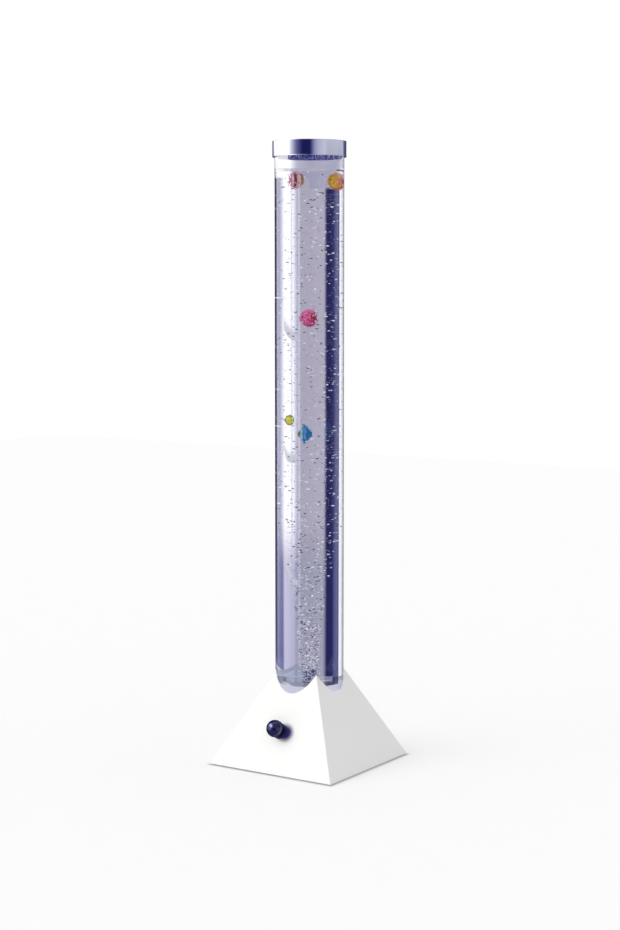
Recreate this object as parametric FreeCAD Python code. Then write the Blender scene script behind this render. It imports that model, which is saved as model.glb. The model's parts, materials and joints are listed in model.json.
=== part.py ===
import FreeCAD, Part
import math
import os

from FreeCAD import Placement, Rotation, Vector

# A bubble tube floor lamp. Millimetres, +Z up. The origin is on the floor under the
# tube's axis, and the face with the push ball looks towards -Y.

# ---- base shell: a four-sided pyramid that the tube stands up through
foot_proud = 1.2          # rubber that shows under the rim
base_side = 210.0         # square, across the rim
apex_rise = 205.5         # the four faces would meet this far above the rim
shell_wall = 3.0          # measured square to a face
corner_round = 1.0        # on the four slanting edges
tube_slack = 0.3          # between the tube and the shell's bore
collar_wall = 4.0         # sleeve that steadies the tube inside the shell
collar_height = 22.0
boss_radius = 4.5
pilot_radius = 1.55
shank_radius = 1.5
rib_thick = 2.0
crown_spare = 3.0         # above the petals' tips, all of it cut away by the tube's bore
pilot_spare = 2.5         # pilot holes run this far past the screws' tips

# ---- bottom cover and feet
cover_thick = 3.0
cover_slack = 0.3         # between the cover's edge and the shell, measured level
cover_screw_inset = 23.0  # from the rim to each screw
cover_screw_length = 14.0
screw_hole_radius = 2.0
screw_head_radius = 3.5
screw_head_height = 1.6
head_slack = 0.3
foot_radius = 9.0
foot_inset = 16.0         # from the cover screws to the feet
foot_sunk = 1.2
foot_bevel = 0.7
vent_length = 30.0
vent_width = 3.0
vent_pitch = 7.0
vent_rows = 6
vent_place = 18.0         # middle of each column of vents, from the middle line
vent_start = 10.5

# ---- tube, its bonded floor, and what clamps it
tube_od = 100.0
tube_wall = 3.0
total_height = 902.0
bond_gap = 0.05
floor_thick = 12.0        # clear disc that holds the water up
floor_rise = 27.0         # from the tube's lower end to the disc
flange_width = 6.0
flange_height = 6.0
gasket_thick = 2.0
clamp_thick = 4.0
clamp_margin = 2.0        # of the clamp beyond the flange
clamp_gap = 3.4           # from the clamp to the shell's inner skin
clamp_round = 10.0
clamp_ledge = 2.0         # of the clamp under the lamp board's edge
clamp_screw_margin = 10.0  # from the flange to the screws' circle
clamp_screw_length = 15.0
upstand_height = 4.0
upstand_wall = 2.7

# ---- light
carrier_wall = 2.5
carrier_slack = 0.3
carrier_height = 16.0
carrier_floor = 3.0
carrier_bore = 12.0
carrier_rim_gap = 1.0     # from the carrier's rim to the tube
carrier_boss_wall = 1.0
board_margin = 9.0        # from the tube's bore to the board's edge
board_slack = 2.0         # from the board's edge to the carrier's inside
board_thick = 1.6
board_bore = 9.0
lamp_count = 12
lamp_side = 5.0
lamp_height = 1.6
lamp_inset = 12.0         # from the board's edge to the lamps' circle
lens_radius = 2.1
lens_proud = 0.5
lamp_screw_count = 3
lamp_screw_inset = 5.0
lamp_screw_turn = 15.0    # degrees, half way between two lamps
small_shank = 1.25
small_head_radius = 2.4
small_head_height = 1.4
small_screw_length = 5.0

# ---- air line up to the stone
hose_od = 6.0
hose_bore = 4.0
barb_slack = 0.05
air_bore = 1.1
nipple_radius = 4.0
nipple_flange = 8.0
nipple_flange_height = 2.0
nipple_seal_height = 1.0
nut_across = 13.0
nut_height = 6.0
nipple_tail = 1.0         # of plain stem under the nut
nipple_barb = 14.0
barb_ribs = 3
barb_taper = 0.85
seal_inset = 0.5
stone_radius = 8.0
stone_height = 16.0
stone_bevel = 2.5
stone_barb = 7.0
valve_drop = 26.0         # from the tube's lower end to the valve's
valve_height = 18.0
valve_radius = 9.0
valve_rim = 3.0           # straight part of the disc's edge
valve_bevel = 1.5
valve_rise = 1.0          # of that bevel
valve_shoulder = 8.0      # across both of the disc's sloping sides
valve_neck = 4.5
valve_barb = 6.0
flap_slack = 0.6
flap_thick = 0.8
hose_run = 4.0            # straight hose between the pump and the bend
hose_end_gap = 0.5
spigot_stub = 1.5         # of plain spigot in front of the pump

# ---- air pump: a magnet on a rocking arm works a rubber bellows
pump_depth = 46.0
pump_left = 46.0          # from the bellows to the left end of the case
pump_right = 60.0
pump_gap = 6.2            # from the pump's lid to the shell's inner skin
pump_height = 40.0
pump_wall = 2.0
pump_round = 5.0
lid_thick = 2.0
lid_slot_width = 2.0
lid_slot_length = 16.0
lid_slot_pitch = 5.0
lid_slot_count = 5
lid_slot_place = 11.0     # middle slot, from the bellows
grommet_height = 4.8
grommet_radius = 5.5
grommet_inset = 9.0
peg_radius = 2.0
block_side = 30.0
block_height = 9.0
block_round = 2.0
chamber_radius = 5.0      # air chamber in the block, under the bellows
chamber_depth = 3.0
bellows_radius = 12.0
bellows_height = 9.75
bellows_neck = 5.0
bellows_skin = 0.8
bellows_rim = 1.0
bellows_waist = 3.0       # how deep the folds go
bellows_taper = 1.0
arm_thick = 2.5
arm_width = 12.0
arm_pivot = 34.0          # from the bellows back to the pivot pin
arm_reach = 34.0          # from the bellows out to the magnet's end
eye_radius = 4.0
pad_proud = 1.5
holder_wall = 1.2
pin_radius = 1.5
pin_slack = 0.05
ear_thick = 3.0
ear_gap = 0.4
mount_dip = 1.0           # from the mount's foot down from the arm's eye
magnet_length = 10.0
magnet_height = 10.0
magnet_gap = 1.0
magnet_round = 0.6
core_leg = 16.0
core_back = 6.0
core_outer_leg = 5.0
core_middle_leg = 8.0
core_window = 6.0
core_width = 14.0
cradle_wall = 2.0
cradle_grip = 3.0
coil_slack = 0.3
coil_build = 4.6
coil_round = 2.0
coil_length = 14.0
spigot_radius = 3.5
spigot_height = 6.0       # above the case's floor

# ---- push ball on the front face
ball_radius = 12.5
ball_stand = 15.0         # centre of the ball from the face
button_rise = 57.5        # where its axis meets the face
button_travel = 2.0
stem_radius = 4.0
stem_slack = 0.3
button_collar_radius = 11.5
button_collar_proud = 1.6
button_collar_bevel = 0.7
dish_slack = 0.5
neck_radius = 6.5
neck_length = 10.0
wall_hole_slack = 0.2
ring_nut_across = 17.0
ring_nut_height = 3.0
clip_radius = 6.0
clip_thick = 0.9
clip_depth = 0.8
clip_mouth = 4.8
stem_tail = 1.8           # stem beyond the clip
switch_side = 12.0
switch_height = 8.0
switch_round = 1.0
plunger_radius = 3.0
plunger_length = 5.0
plunger_slack = 0.3
switch_well = 4.2
post_radius = 3.0
post_place = 15.0
bracket_margin = 1.0
bracket_thick = 2.0
bracket_width = 16.0
bracket_round = 2.0

# ---- low-voltage inlet on the back face
jack_rise = 24.0
jack_along = 62.0         # to the right, seen from behind
jack_flange = 7.0
jack_flange_height = 2.0
jack_bevel = 0.8
jack_thread = 5.5
jack_depth = 14.0
jack_socket = 3.1
socket_depth = 9.0
jack_pin = 1.05
jack_pin_length = 8.0
jack_nut_across = 14.0
jack_nut_height = 2.5
tag_place = 2.5           # each side of the jack's axis
tag_thick = 0.8
tag_width = 3.0
tag_length = 4.0

# ---- control board on the cover. Its parts are placed from its corner by the face.
control_gap = 12.0        # from the board to the shell's inner skin
control_front = -52.0
control_length = 50.0
control_width = 40.0
chip_side = 10.0
chip_height = 2.0
chip_place = (14.0, 18.0)
can_radius = 4.0
can_height = 10.0
can_bevel = 0.6
can_places = ((31.0, 12.0), (31.0, 24.0))
choke_radius = 6.0
choke_bore = 2.5
choke_height = 5.0
choke_place = (14.0, 38.0)
socket_wide = 6.0
socket_long = 9.0
socket_tall = 6.0
socket_wall = 1.0
socket_floor = 2.0
socket_inset = 2.0
socket_start = 10.0
socket_pitch = 12.0
socket_count = 3
standoff_height = 7.8
standoff_radius = 3.0
standoff_inset = 4.0

# ---- cap
cap_gap = 1.2             # between the cap and the tube
cap_height = 22.5
cap_wall = 2.0
cap_bevel = 0.5
plug_slack = 0.4
plug_wall = 2.5
plug_flange = 2.0
plug_drop = 2.0           # the plug's underside, below the cap's rim
notch_width = 12.0        # air leaves through notches in the plug
notch_height = 6.0
pad_thick = 2.0
pad_sweep = 40.0
pad_count = 3
pad_overhang = 0.6

# ---- water, which the fish are placed from
water_down = 41.0         # from the cap's top to the water line
fin_thick = 0.9

# ---- screws, as shares of the head's height and of the shank's radius
pan_bevel = 0.4
tip_share = 0.4

# ---- cutters pass what they cut by this much
over = 1.0

# ---- what follows from those
rim_z = foot_proud
lean = base_side / 2 / apex_rise
tilt = math.atan(lean)
wall_across = shell_wall / math.cos(tilt)
cover_top = rim_z + cover_thick
tube_r = tube_od / 2
tube_bore = tube_r - tube_wall
shell_bore = tube_r + tube_slack
flange_radius = tube_r + flange_width
clamp_half = flange_radius + clamp_margin
clamp_screw_circle = flange_radius + clamp_screw_margin
tube_bottom = rim_z + (base_side / 2 - wall_across - clamp_half - clamp_gap) / lean
clamp_low = tube_bottom - clamp_thick
flange_top = tube_bottom + flange_height
seat_z = flange_top + gasket_thick
floor_low = tube_bottom + floor_rise
floor_top = floor_low + floor_thick
cap_r = tube_r + cap_gap + cap_wall
cap_low = total_height - cap_height
water_line = total_height - water_down
tube_top = total_height - cap_wall - plug_flange - pad_thick
carrier_top = tube_bottom + carrier_height
board_top = carrier_top + board_thick
board_radius = tube_bore - board_margin
carrier_inside = board_radius + board_slack
lamp_circle = board_radius - lamp_inset
lamp_screw_circle = board_radius - lamp_screw_inset
clamp_bore = board_radius - clamp_ledge
cover_screw_place = base_side / 2 - cover_screw_inset
foot_place = cover_screw_place - foot_inset
valve_low = tube_bottom - valve_drop
valve_middle = valve_low + valve_height / 2
valve_top = valve_low + valve_height
nut_low = floor_low - nut_height
nipple_low = nut_low - nipple_tail
hose_r = hose_od / 2
barb_r = hose_bore / 2 - barb_slack
pump_low = cover_top + grommet_height
pump_floor = pump_low + pump_wall
spigot_z = pump_floor + spigot_height
block_top = pump_floor + block_height
arm_low = block_top + bellows_height
arm_mid = arm_low + arm_thick / 2
control_low = cover_top + standoff_height
pump_rim = pump_low + pump_height
lid_top = pump_rim + lid_thick
crown_z = rim_z + (base_side / 2 - shell_bore / math.sqrt(2)) / lean + crown_spare


def face_at(height):
    """Half the base's width at a height."""
    return base_side / 2 - lean * (height - rim_z)


pump_middle = face_at(lid_top) - wall_across - pump_gap - pump_depth / 2
pump_front = pump_middle - pump_depth / 2
pump_rear = pump_middle + pump_depth / 2
spigot_root = pump_front - spigot_stub
hose_bend = spigot_root - hose_end_gap - hose_run
control_left = wall_across + control_gap - face_at(control_low)


# ---- small shapes
def cylinder(radius, low, high, x=0.0, y=0.0):
    return Part.makeCylinder(radius, high - low, Vector(x, y, low))


def ring(outer, inner, low, high, x=0.0, y=0.0):
    return cylinder(outer, low, high, x, y).cut(cylinder(inner, low - over, high + over, x, y))


def block(x0, x1, y0, y1, z0, z1):
    return Part.makeBox(x1 - x0, y1 - y0, z1 - z0, Vector(x0, y0, z0))


def upright_edges(shape):
    found = []
    for edge in shape.Edges:
        box = edge.BoundBox
        if box.XLength < 1e-6 and box.YLength < 1e-6:
            found.append(edge)
    return found


def rounded_block(x0, x1, y0, y1, z0, z1, radius):
    shape = block(x0, x1, y0, y1, z0, z1)
    return shape.makeFillet(radius, upright_edges(shape))


def bevelled(radius, low, high, bevel, x=0.0, y=0.0):
    """A disc with its upper edge bevelled."""
    disc = cylinder(radius, low, high, x, y)
    return disc.makeChamfer(bevel, [disc.Edges[0]])


def hexagon(across, low, high, bore):
    radius = across / 2 / math.cos(math.pi / 6)
    rim = []
    for step in range(7):
        turn = step * math.pi / 3
        rim.append(Vector(radius * math.cos(turn), radius * math.sin(turn), low))
    face = Part.Face(Part.makePolygon(rim))
    return face.extrude(Vector(0, 0, high - low)).cut(cylinder(bore, low - over, high + over))


def turned(points):
    """A solid of revolution about Z from an outline of (radius, height) points."""
    outline = [Vector(r, 0, z) for r, z in points]
    outline.append(outline[0])
    face = Part.Face(Part.makePolygon(outline))
    return face.revolve(Vector(0, 0, 0), Vector(0, 0, 1), 360)


def pyramid(inset, low, high):
    """A square frustum that leans as the base does, inset level from its faces."""
    foot = face_at(low) - inset
    top = face_at(high) - inset
    shape = Part.makeWedge(-foot, low, -foot, -top, -top, foot, high, foot, top, top)
    shape.rotate(Vector(0, 0, 0), Vector(1, 0, 0), 90)
    return shape


def corners(place):
    return [(sx * place, sy * place) for sx in (-1, 1) for sy in (-1, 1)]


def on_face(shape, turn, along, height):
    """Stands a shape, built outwards along +Z, on one of the base's faces."""
    placed = shape.copy()
    stand = Placement(Vector(along, -face_at(height), height),
                      Rotation(Vector(1, 0, 0), 90 - math.degrees(tilt)))
    spin = Placement(Vector(0, 0, 0), Rotation(Vector(0, 0, 1), turn))
    placed.Placement = spin.multiply(stand).multiply(shape.Placement)
    return placed


def on_front(shape):
    return on_face(shape, 0, 0, button_rise)


def on_back(shape):
    return on_face(shape, 180, jack_along, jack_rise)


def screw(x, y, under_head, length, radius, head_radius, head_height):
    """A pan-head screw that points up, with a short cone at its tip."""
    face = under_head - head_height
    bevel = head_height * pan_bevel
    tip = under_head + length
    shape = turned([(0, face), (head_radius - bevel, face), (head_radius, face + bevel), (head_radius, under_head),
                    (radius, under_head), (radius, tip - radius), (radius * tip_share, tip), (0, tip)])
    shape.translate(Vector(x, y, 0))
    return shape


def save(name, *solids):
    shape = solids[0] if len(solids) == 1 else Part.makeCompound(list(solids))
    shape.exportStep("parts/" + name + ".step")
    print(name, len(shape.Solids), "solid(s)", round(shape.Volume), "mm3", shape.isValid())


# ---- base
def clamp_screw_places():
    place = clamp_screw_circle / math.sqrt(2)
    return corners(place)


def shell_inner_work(inner_skin):
    """Collar, screw bosses, ribs and switch posts, all ending inside the wall."""
    pieces = [ring(shell_bore + collar_wall, shell_bore - over, seat_z, seat_z + collar_height)]
    for x, y in clamp_screw_places():
        pieces.append(cylinder(boss_radius, tube_bottom, crown_z, x, y))
    for turn in (45, 135, 225, 315):
        rib = block(shell_bore, clamp_screw_circle, -rib_thick / 2, rib_thick / 2, seat_z, crown_z)
        rib.rotate(Vector(0, 0, 0), Vector(0, 0, 1), turn)
        pieces.append(rib)
    for x, y in corners(cover_screw_place):
        pieces.append(cylinder(boss_radius, cover_top, crown_z, x, y))
    pieces = [piece.common(inner_skin) for piece in pieces]
    for side in (-1, 1):
        post = cylinder(post_radius, switch_floor(), -shell_wall / 2, side * post_place, 0)
        pieces.append(on_front(post))
    return pieces


def base_shell():
    skin = pyramid(0, rim_z, crown_z)
    slanting = [edge for edge in skin.Edges if edge.BoundBox.ZLength > 1]
    skin = skin.makeFillet(corner_round, slanting)
    shell = skin.cut(pyramid(wall_across, rim_z - over, crown_z))
    inner_skin = pyramid(wall_across / 2, rim_z, crown_z)
    shell = shell.multiFuse(shell_inner_work(inner_skin))
    shell = shell.cut(cylinder(shell_bore, seat_z - over, crown_z + over))
    clamp_pilot = clamp_low + clamp_screw_length + pilot_spare
    for x, y in clamp_screw_places():
        shell = shell.cut(cylinder(pilot_radius, tube_bottom - over, clamp_pilot, x, y))
    cover_pilot = rim_z + screw_head_height + cover_screw_length + pilot_spare
    for x, y in corners(cover_screw_place):
        shell = shell.cut(cylinder(pilot_radius, cover_top - over, cover_pilot, x, y))
    for side in (-1, 1):
        pilot = cylinder(small_shank + bond_gap, switch_floor() - over, switch_floor() + small_screw_length,
                         side * post_place, 0)
        shell = shell.cut(on_front(pilot))
    shell = shell.cut(on_front(cylinder(neck_radius + wall_hole_slack, -2 * shell_wall, shell_wall)))
    shell = shell.cut(on_back(cylinder(jack_thread + wall_hole_slack, -2 * shell_wall, shell_wall)))
    return shell.removeSplitter()


def vent(x, y):
    half = vent_length / 2
    return block(x - half, x + half, y - vent_width / 2, y + vent_width / 2, 0, cover_top + over)


def grommet_places():
    places = []
    for x in (-pump_left + grommet_inset, pump_right - grommet_inset):
        for y in (pump_front + grommet_inset, pump_rear - grommet_inset):
            places.append((x, y))
    return places


def standoff_places():
    places = []
    for x in (control_left + standoff_inset, control_left + control_width - standoff_inset):
        for y in (control_front + standoff_inset, control_front + control_length - standoff_inset):
            places.append((x, y))
    return places


def base_cover():
    plate = pyramid(wall_across + cover_slack, rim_z, cover_top)
    for x, y in corners(cover_screw_place):
        plate = plate.cut(cylinder(screw_hole_radius, 0, cover_top + over, x, y))
        plate = plate.cut(cylinder(screw_head_radius + head_slack, 0, rim_z + screw_head_height, x, y))
    for x, y in corners(foot_place):
        plate = plate.cut(cylinder(foot_radius + bond_gap, 0, rim_z + foot_sunk, x, y))
    for side in (-1, 1):
        for row in range(vent_rows):
            plate = plate.cut(vent(side * vent_place, -vent_start - vent_pitch * row))
    for x, y in grommet_places():
        plate = plate.fuse(cylinder(peg_radius, cover_top - over, pump_low - bond_gap, x, y))
    for x, y in standoff_places():
        plate = plate.fuse(cylinder(standoff_radius, cover_top - over, control_low, x, y))
        plate = plate.cut(cylinder(small_shank + bond_gap, cover_top, control_low + over, x, y))
    return plate.removeSplitter()


def cover_screws():
    return [screw(x, y, rim_z + screw_head_height, cover_screw_length, shank_radius,
                  screw_head_radius, screw_head_height) for x, y in corners(cover_screw_place)]


def rubber_feet():
    feet = []
    for x, y in corners(foot_place):
        foot = cylinder(foot_radius, 0, rim_z + foot_sunk, x, y)
        feet.append(foot.makeChamfer(foot_bevel, [foot.Edges[2]]))
    return feet


# ---- tube and its clamp
def tube():
    return ring(tube_r, tube_bore, tube_bottom, tube_top)


def tube_floor():
    return ring(tube_bore - bond_gap, nipple_radius + bond_gap, floor_low, floor_top)


def tube_flange():
    return ring(flange_radius, tube_r + bond_gap, tube_bottom, flange_top)


def tube_gasket():
    return ring(flange_radius, shell_bore, flange_top, seat_z)


def tube_clamp():
    plate = rounded_block(-clamp_half, clamp_half, -clamp_half, clamp_half, clamp_low, tube_bottom, clamp_round)
    upstand_r = carrier_inside - carrier_slack
    plate = plate.fuse(cylinder(upstand_r, tube_bottom, tube_bottom + upstand_height))
    plate = plate.cut(cylinder(upstand_r - upstand_wall, tube_bottom, tube_bottom + upstand_height + over))
    plate = plate.cut(cylinder(clamp_bore, clamp_low - over, tube_bottom + over))
    for x, y in clamp_screw_places():
        plate = plate.cut(cylinder(screw_hole_radius, clamp_low - over, tube_bottom + over, x, y))
    return plate.removeSplitter()


def clamp_screws():
    return [screw(x, y, clamp_low, clamp_screw_length, shank_radius, screw_head_radius,
                  screw_head_height) for x, y in clamp_screw_places()]


# ---- light
def lamp_screw_places():
    places = []
    for step in range(lamp_screw_count):
        turn = math.radians(lamp_screw_turn + 360 / lamp_screw_count * step)
        places.append((lamp_screw_circle * math.cos(turn), lamp_screw_circle * math.sin(turn)))
    return places


def led_carrier():
    """A cup that stands on the clamp, upside down, and holds the board under the clear disc."""
    cup = cylinder(carrier_inside + carrier_wall, tube_bottom, carrier_top)
    cup = cup.cut(cylinder(carrier_inside, tube_bottom - over, carrier_top - carrier_floor))
    rim_top = tube_bottom + carrier_wall
    cup = cup.fuse(ring(tube_bore - carrier_rim_gap, carrier_inside, tube_bottom, rim_top))
    cup = cup.cut(cylinder(carrier_bore, tube_bottom, carrier_top + over))
    screw_low = carrier_top - small_screw_length
    for x, y in lamp_screw_places():
        cup = cup.fuse(cylinder(small_head_radius + carrier_boss_wall, screw_low - over, carrier_top, x, y))
        cup = cup.cut(cylinder(small_shank + bond_gap, screw_low, carrier_top + over, x, y))
    return cup.removeSplitter()


def led_board():
    board = ring(board_radius, board_bore, carrier_top, board_top)
    for x, y in lamp_screw_places():
        board = board.cut(cylinder(small_shank + bond_gap, carrier_top - over, board_top + over, x, y))
    return board


def leds():
    lamps = []
    half = lamp_side / 2
    body_top = board_top + lamp_height
    for step in range(lamp_count):
        lamp = block(lamp_circle - half, lamp_circle + half, -half, half, board_top, body_top)
        lens = cylinder(lens_radius, body_top, body_top + lens_proud, lamp_circle, 0)
        lamp = lamp.fuse(lens)
        lamp.rotate(Vector(0, 0, 0), Vector(0, 0, 1), 360 / lamp_count * step)
        lamps.append(lamp)
    return lamps


def hung_screw(x, y, under_head):
    """A small pan-head screw that points down."""
    shape = screw(0, 0, 0, small_screw_length, small_shank, small_head_radius, small_head_height)
    shape.rotate(Vector(0, 0, 0), Vector(1, 0, 0), 180)
    shape.translate(Vector(x, y, under_head))
    return shape


def led_screws():
    return [hung_screw(x, y, board_top) for x, y in lamp_screw_places()]


# ---- air line
def barb(low, high, up=True):
    """A ribbed spigot for the hose. The ribs' sharp side faces the body it grows from."""
    rib = (high - low) / barb_ribs
    thin = barb_r * barb_taper
    points = [(air_bore, low)]
    for step in range(barb_ribs):
        start = low + rib * step
        first, last = (barb_r, thin) if up else (thin, barb_r)
        points += [(first, start), (last, start + rib)]
    points.append((air_bore, high))
    return turned(points)


def air_nipple():
    flange_low = floor_top + nipple_seal_height
    top = flange_low + nipple_flange_height
    stem = ring(nipple_radius, air_bore, nipple_low, flange_low)
    flange = ring(nipple_flange, air_bore, flange_low, top)
    lower = barb(nipple_low - nipple_barb, nipple_low, up=False)
    upper = barb(top, top + stone_barb)
    return stem.multiFuse([flange, lower, upper]).removeSplitter()


def nipple_seal():
    return ring(nipple_flange - seal_inset, nipple_radius + bond_gap, floor_top, floor_top + nipple_seal_height)


def nipple_nut():
    return hexagon(nut_across, nut_low, floor_low, nipple_radius + bond_gap)


def air_stone():
    low = floor_top + nipple_seal_height + nipple_flange_height
    stone = bevelled(stone_radius, low, low + stone_height, stone_bevel)
    return stone.cut(cylinder(barb_r + barb_slack, low - over, low + stone_barb + over))


def check_valve():
    """Two moulded halves snapped round a flap, seen as a disc with a neck at each end."""
    half_disc = [(valve_neck, valve_shoulder / 2), (valve_radius - valve_bevel, valve_rim / 2 + valve_rise),
                 (valve_radius, valve_rim / 2)]
    upper_side = [(r, valve_middle + z) for r, z in half_disc]
    lower_side = [(r, valve_middle - z) for r, z in half_disc]
    body = turned([(air_bore, valve_low), (valve_neck, valve_low)] + lower_side + upper_side[::-1]
                  + [(valve_neck, valve_top), (air_bore, valve_top)])
    body = body.cut(cylinder(valve_neck, valve_middle - valve_rim / 2, valve_middle + valve_rim / 2))
    lower = barb(valve_low - valve_barb, valve_low, up=False)
    upper = barb(valve_top, valve_top + valve_barb)
    return body.multiFuse([lower, upper]).removeSplitter()


def valve_flap():
    low = valve_middle - valve_rim / 2
    return cylinder(valve_neck - flap_slack, low, low + flap_thick)


def hose_along(wire):
    """A hose swept along a path of straight runs and arcs."""
    start = wire.Vertexes[0].Point
    heading = wire.Edges[0].tangentAt(wire.Edges[0].FirstParameter)
    loops = []
    for radius in (hose_r, hose_bore / 2):
        loops.append(Part.Wire(Part.makeCircle(radius, start, heading)))
    outside = wire.makePipeShell([loops[0]], True, False)
    inside = wire.makePipeShell([loops[1]], True, False)
    return outside.cut(inside)


def lower_hose():
    """From the pump's spigot forwards, round a quarter turn and up the axis."""
    start = Vector(0, spigot_root - hose_end_gap, spigot_z)
    bend_start = Vector(0, hose_bend, spigot_z)
    bend_end = Vector(0, 0, spigot_z + hose_bend)
    swing = hose_bend * (1 - math.cos(math.pi / 4))
    bend_middle = Vector(0, swing, spigot_z + swing)
    edges = [Part.LineSegment(start, bend_start).toShape(),
             Part.Arc(bend_start, bend_middle, bend_end).toShape(),
             Part.LineSegment(bend_end, Vector(0, 0, valve_low)).toShape()]
    return hose_along(Part.Wire(edges))


def upper_hose():
    return ring(hose_r, hose_bore / 2, valve_top, nipple_low)


# ---- air pump
def lid_screw_places():
    places = []
    for x in (-pump_left + pump_round, pump_right - pump_round):
        for y in (pump_front + pump_round, pump_rear - pump_round):
            places.append((x, y))
    return places


def pump_case():
    case = rounded_block(-pump_left, pump_right, pump_front, pump_rear, pump_low, pump_rim, pump_round)
    hollow = rounded_block(-pump_left + pump_wall, pump_right - pump_wall, pump_front + pump_wall,
                           pump_rear - pump_wall, pump_floor, pump_rim + over, pump_round - pump_wall)
    case = case.cut(hollow)
    pilot_low = pump_rim - small_screw_length - over
    for x, y in lid_screw_places():
        case = case.fuse(cylinder(pump_round - pump_wall / 2, pump_floor, pump_rim, x, y))
        case = case.cut(cylinder(small_shank + bond_gap, pilot_low, pump_rim + over, x, y))
    hole = Part.makeCylinder(spigot_radius + head_slack, pump_wall + 2 * over,
                             Vector(0, pump_front - over, spigot_z), Vector(0, 1, 0))
    return case.cut(hole).removeSplitter()


def pump_lid():
    lid = rounded_block(-pump_left, pump_right, pump_front, pump_rear, pump_rim, lid_top, pump_round)
    for x, y in lid_screw_places():
        lid = lid.cut(cylinder(small_shank + bond_gap, pump_rim - over, lid_top + over, x, y))
    reach = lid_slot_length / 2
    for step in range(lid_slot_count):
        x = lid_slot_place + (step - (lid_slot_count - 1) / 2) * lid_slot_pitch
        slot = block(x - lid_slot_width / 2, x + lid_slot_width / 2, pump_middle - reach, pump_middle + reach,
                     pump_rim - over, lid_top + over)
        lid = lid.cut(slot)
    return lid


def pump_screws():
    return [hung_screw(x, y, lid_top) for x, y in lid_screw_places()]


def pump_grommets():
    return [ring(grommet_radius, peg_radius + bond_gap, cover_top, pump_low, x, y) for x, y in grommet_places()]


def valve_block():
    half = block_side / 2
    front = pump_middle - half
    body = rounded_block(-half, half, front, pump_middle + half, pump_floor, block_top, block_round)
    body = body.cut(cylinder(chamber_radius, block_top - chamber_depth, block_top + over, 0, pump_middle))
    outwards = Vector(0, 1, 0)
    spigot = Part.makeCylinder(spigot_radius, front - spigot_root + over, Vector(0, spigot_root, spigot_z), outwards)
    tail = barb(0, hose_run, up=True)
    tail.rotate(Vector(0, 0, 0), Vector(1, 0, 0), 90)
    tail.translate(Vector(0, spigot_root, spigot_z))
    bore = Part.makeCylinder(air_bore, pump_middle - spigot_root + over, Vector(0, spigot_root - over, spigot_z),
                             outwards)
    return body.multiFuse([spigot, tail]).cut(bore).removeSplitter()


def block_flap():
    low = block_top - chamber_depth
    return cylinder(chamber_radius - flap_slack, low, low + flap_thick, 0, pump_middle)


def bellows():
    """A closed rubber bellows of two folds. It stands on the block and carries the arm."""
    fold = (bellows_height - 2 * bellows_rim) / 4
    waist = bellows_radius - bellows_waist
    base, top = block_top, block_top + bellows_height
    first = base + bellows_rim
    outside = [(bellows_radius, base), (bellows_radius, first), (waist, first + fold),
               (bellows_radius - bellows_taper, first + 2 * fold), (waist, first + 3 * fold),
               (bellows_radius - 2 * bellows_taper, top - bellows_rim), (bellows_neck, top)]
    slope_skin = bellows_skin * math.sqrt(2)
    inside = [(r - slope_skin, z) for r, z in outside[1:-1]]
    inside = [(inside[0][0], base)] + inside + [(bellows_neck - bellows_taper, top - bellows_skin)]
    shape = turned(outside + [(0, top), (0, top - bellows_skin)] + inside[::-1])
    shape.translate(Vector(0, pump_middle, 0))
    return shape


def across(shape):
    """Turns a piece built on the Z axis so that its axis runs along Y through the pivot."""
    shape.rotate(Vector(0, 0, 0), Vector(1, 0, 0), 90)
    shape.translate(Vector(-arm_pivot, pump_middle, arm_mid))
    return shape


def pump_arm():
    side = arm_width / 2
    magnet_x = arm_reach - magnet_length
    eye = across(ring(eye_radius, pin_radius + pin_slack, -side, side))
    beam = block(-arm_pivot, magnet_x, pump_middle - side, pump_middle + side, arm_low, arm_low + arm_thick)
    pad = cylinder(bellows_neck, arm_low, arm_low + arm_thick + pad_proud, 0, pump_middle)
    holder = block(magnet_x - holder_wall, magnet_x, pump_middle - side, pump_middle + side,
                   arm_mid - magnet_height / 2, arm_mid + magnet_height / 2)
    pivot_hole = across(cylinder(pin_radius + pin_slack, -arm_width, arm_width))
    return eye.multiFuse([beam, pad, holder]).cut(pivot_hole).removeSplitter()


def arm_magnet():
    side = arm_width / 2
    return rounded_block(arm_reach - magnet_length, arm_reach, pump_middle - side, pump_middle + side,
                         arm_mid - magnet_height / 2, arm_mid + magnet_height / 2, magnet_round)


def arm_mount():
    """A post with two ears, one each side of the arm's eye."""
    inner = arm_width / 2 + ear_gap
    outer = inner + ear_thick
    x0 = -arm_pivot - eye_radius
    x1 = -arm_pivot + eye_radius
    foot_top = arm_mid - eye_radius - mount_dip
    foot = block(x0, x1, pump_middle - outer, pump_middle + outer, pump_floor, foot_top)
    pieces = []
    for low in (-outer, inner):
        pieces.append(across(cylinder(eye_radius, low, low + ear_thick)))
        y0 = pump_middle + low
        pieces.append(block(x0, x1, y0, y0 + ear_thick, pump_floor, arm_mid))
    hole = across(cylinder(pin_radius + bond_gap, -outer - over, outer + over))
    return foot.multiFuse(pieces).cut(hole).removeSplitter()


def arm_pin():
    outer = arm_width / 2 + ear_gap + ear_thick
    return across(cylinder(pin_radius, -outer, outer))


def pump_core():
    """The E-shaped stack of laminations. Its middle leg faces the magnet."""
    x0 = arm_reach + magnet_gap
    x1 = x0 + core_leg
    y0, y1 = pump_middle - core_width / 2, pump_middle + core_width / 2
    half = core_middle_leg / 2 + core_window + core_outer_leg
    core = block(x0, x1 + core_back, y0, y1, arm_mid - half, arm_mid + half)
    for side in (-1, 1):
        low = arm_mid + side * (core_middle_leg / 2 + core_window / 2) - core_window / 2
        core = core.cut(block(x0 - over, x1, y0 - over, y1 + over, low, low + core_window))
    return core


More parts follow.
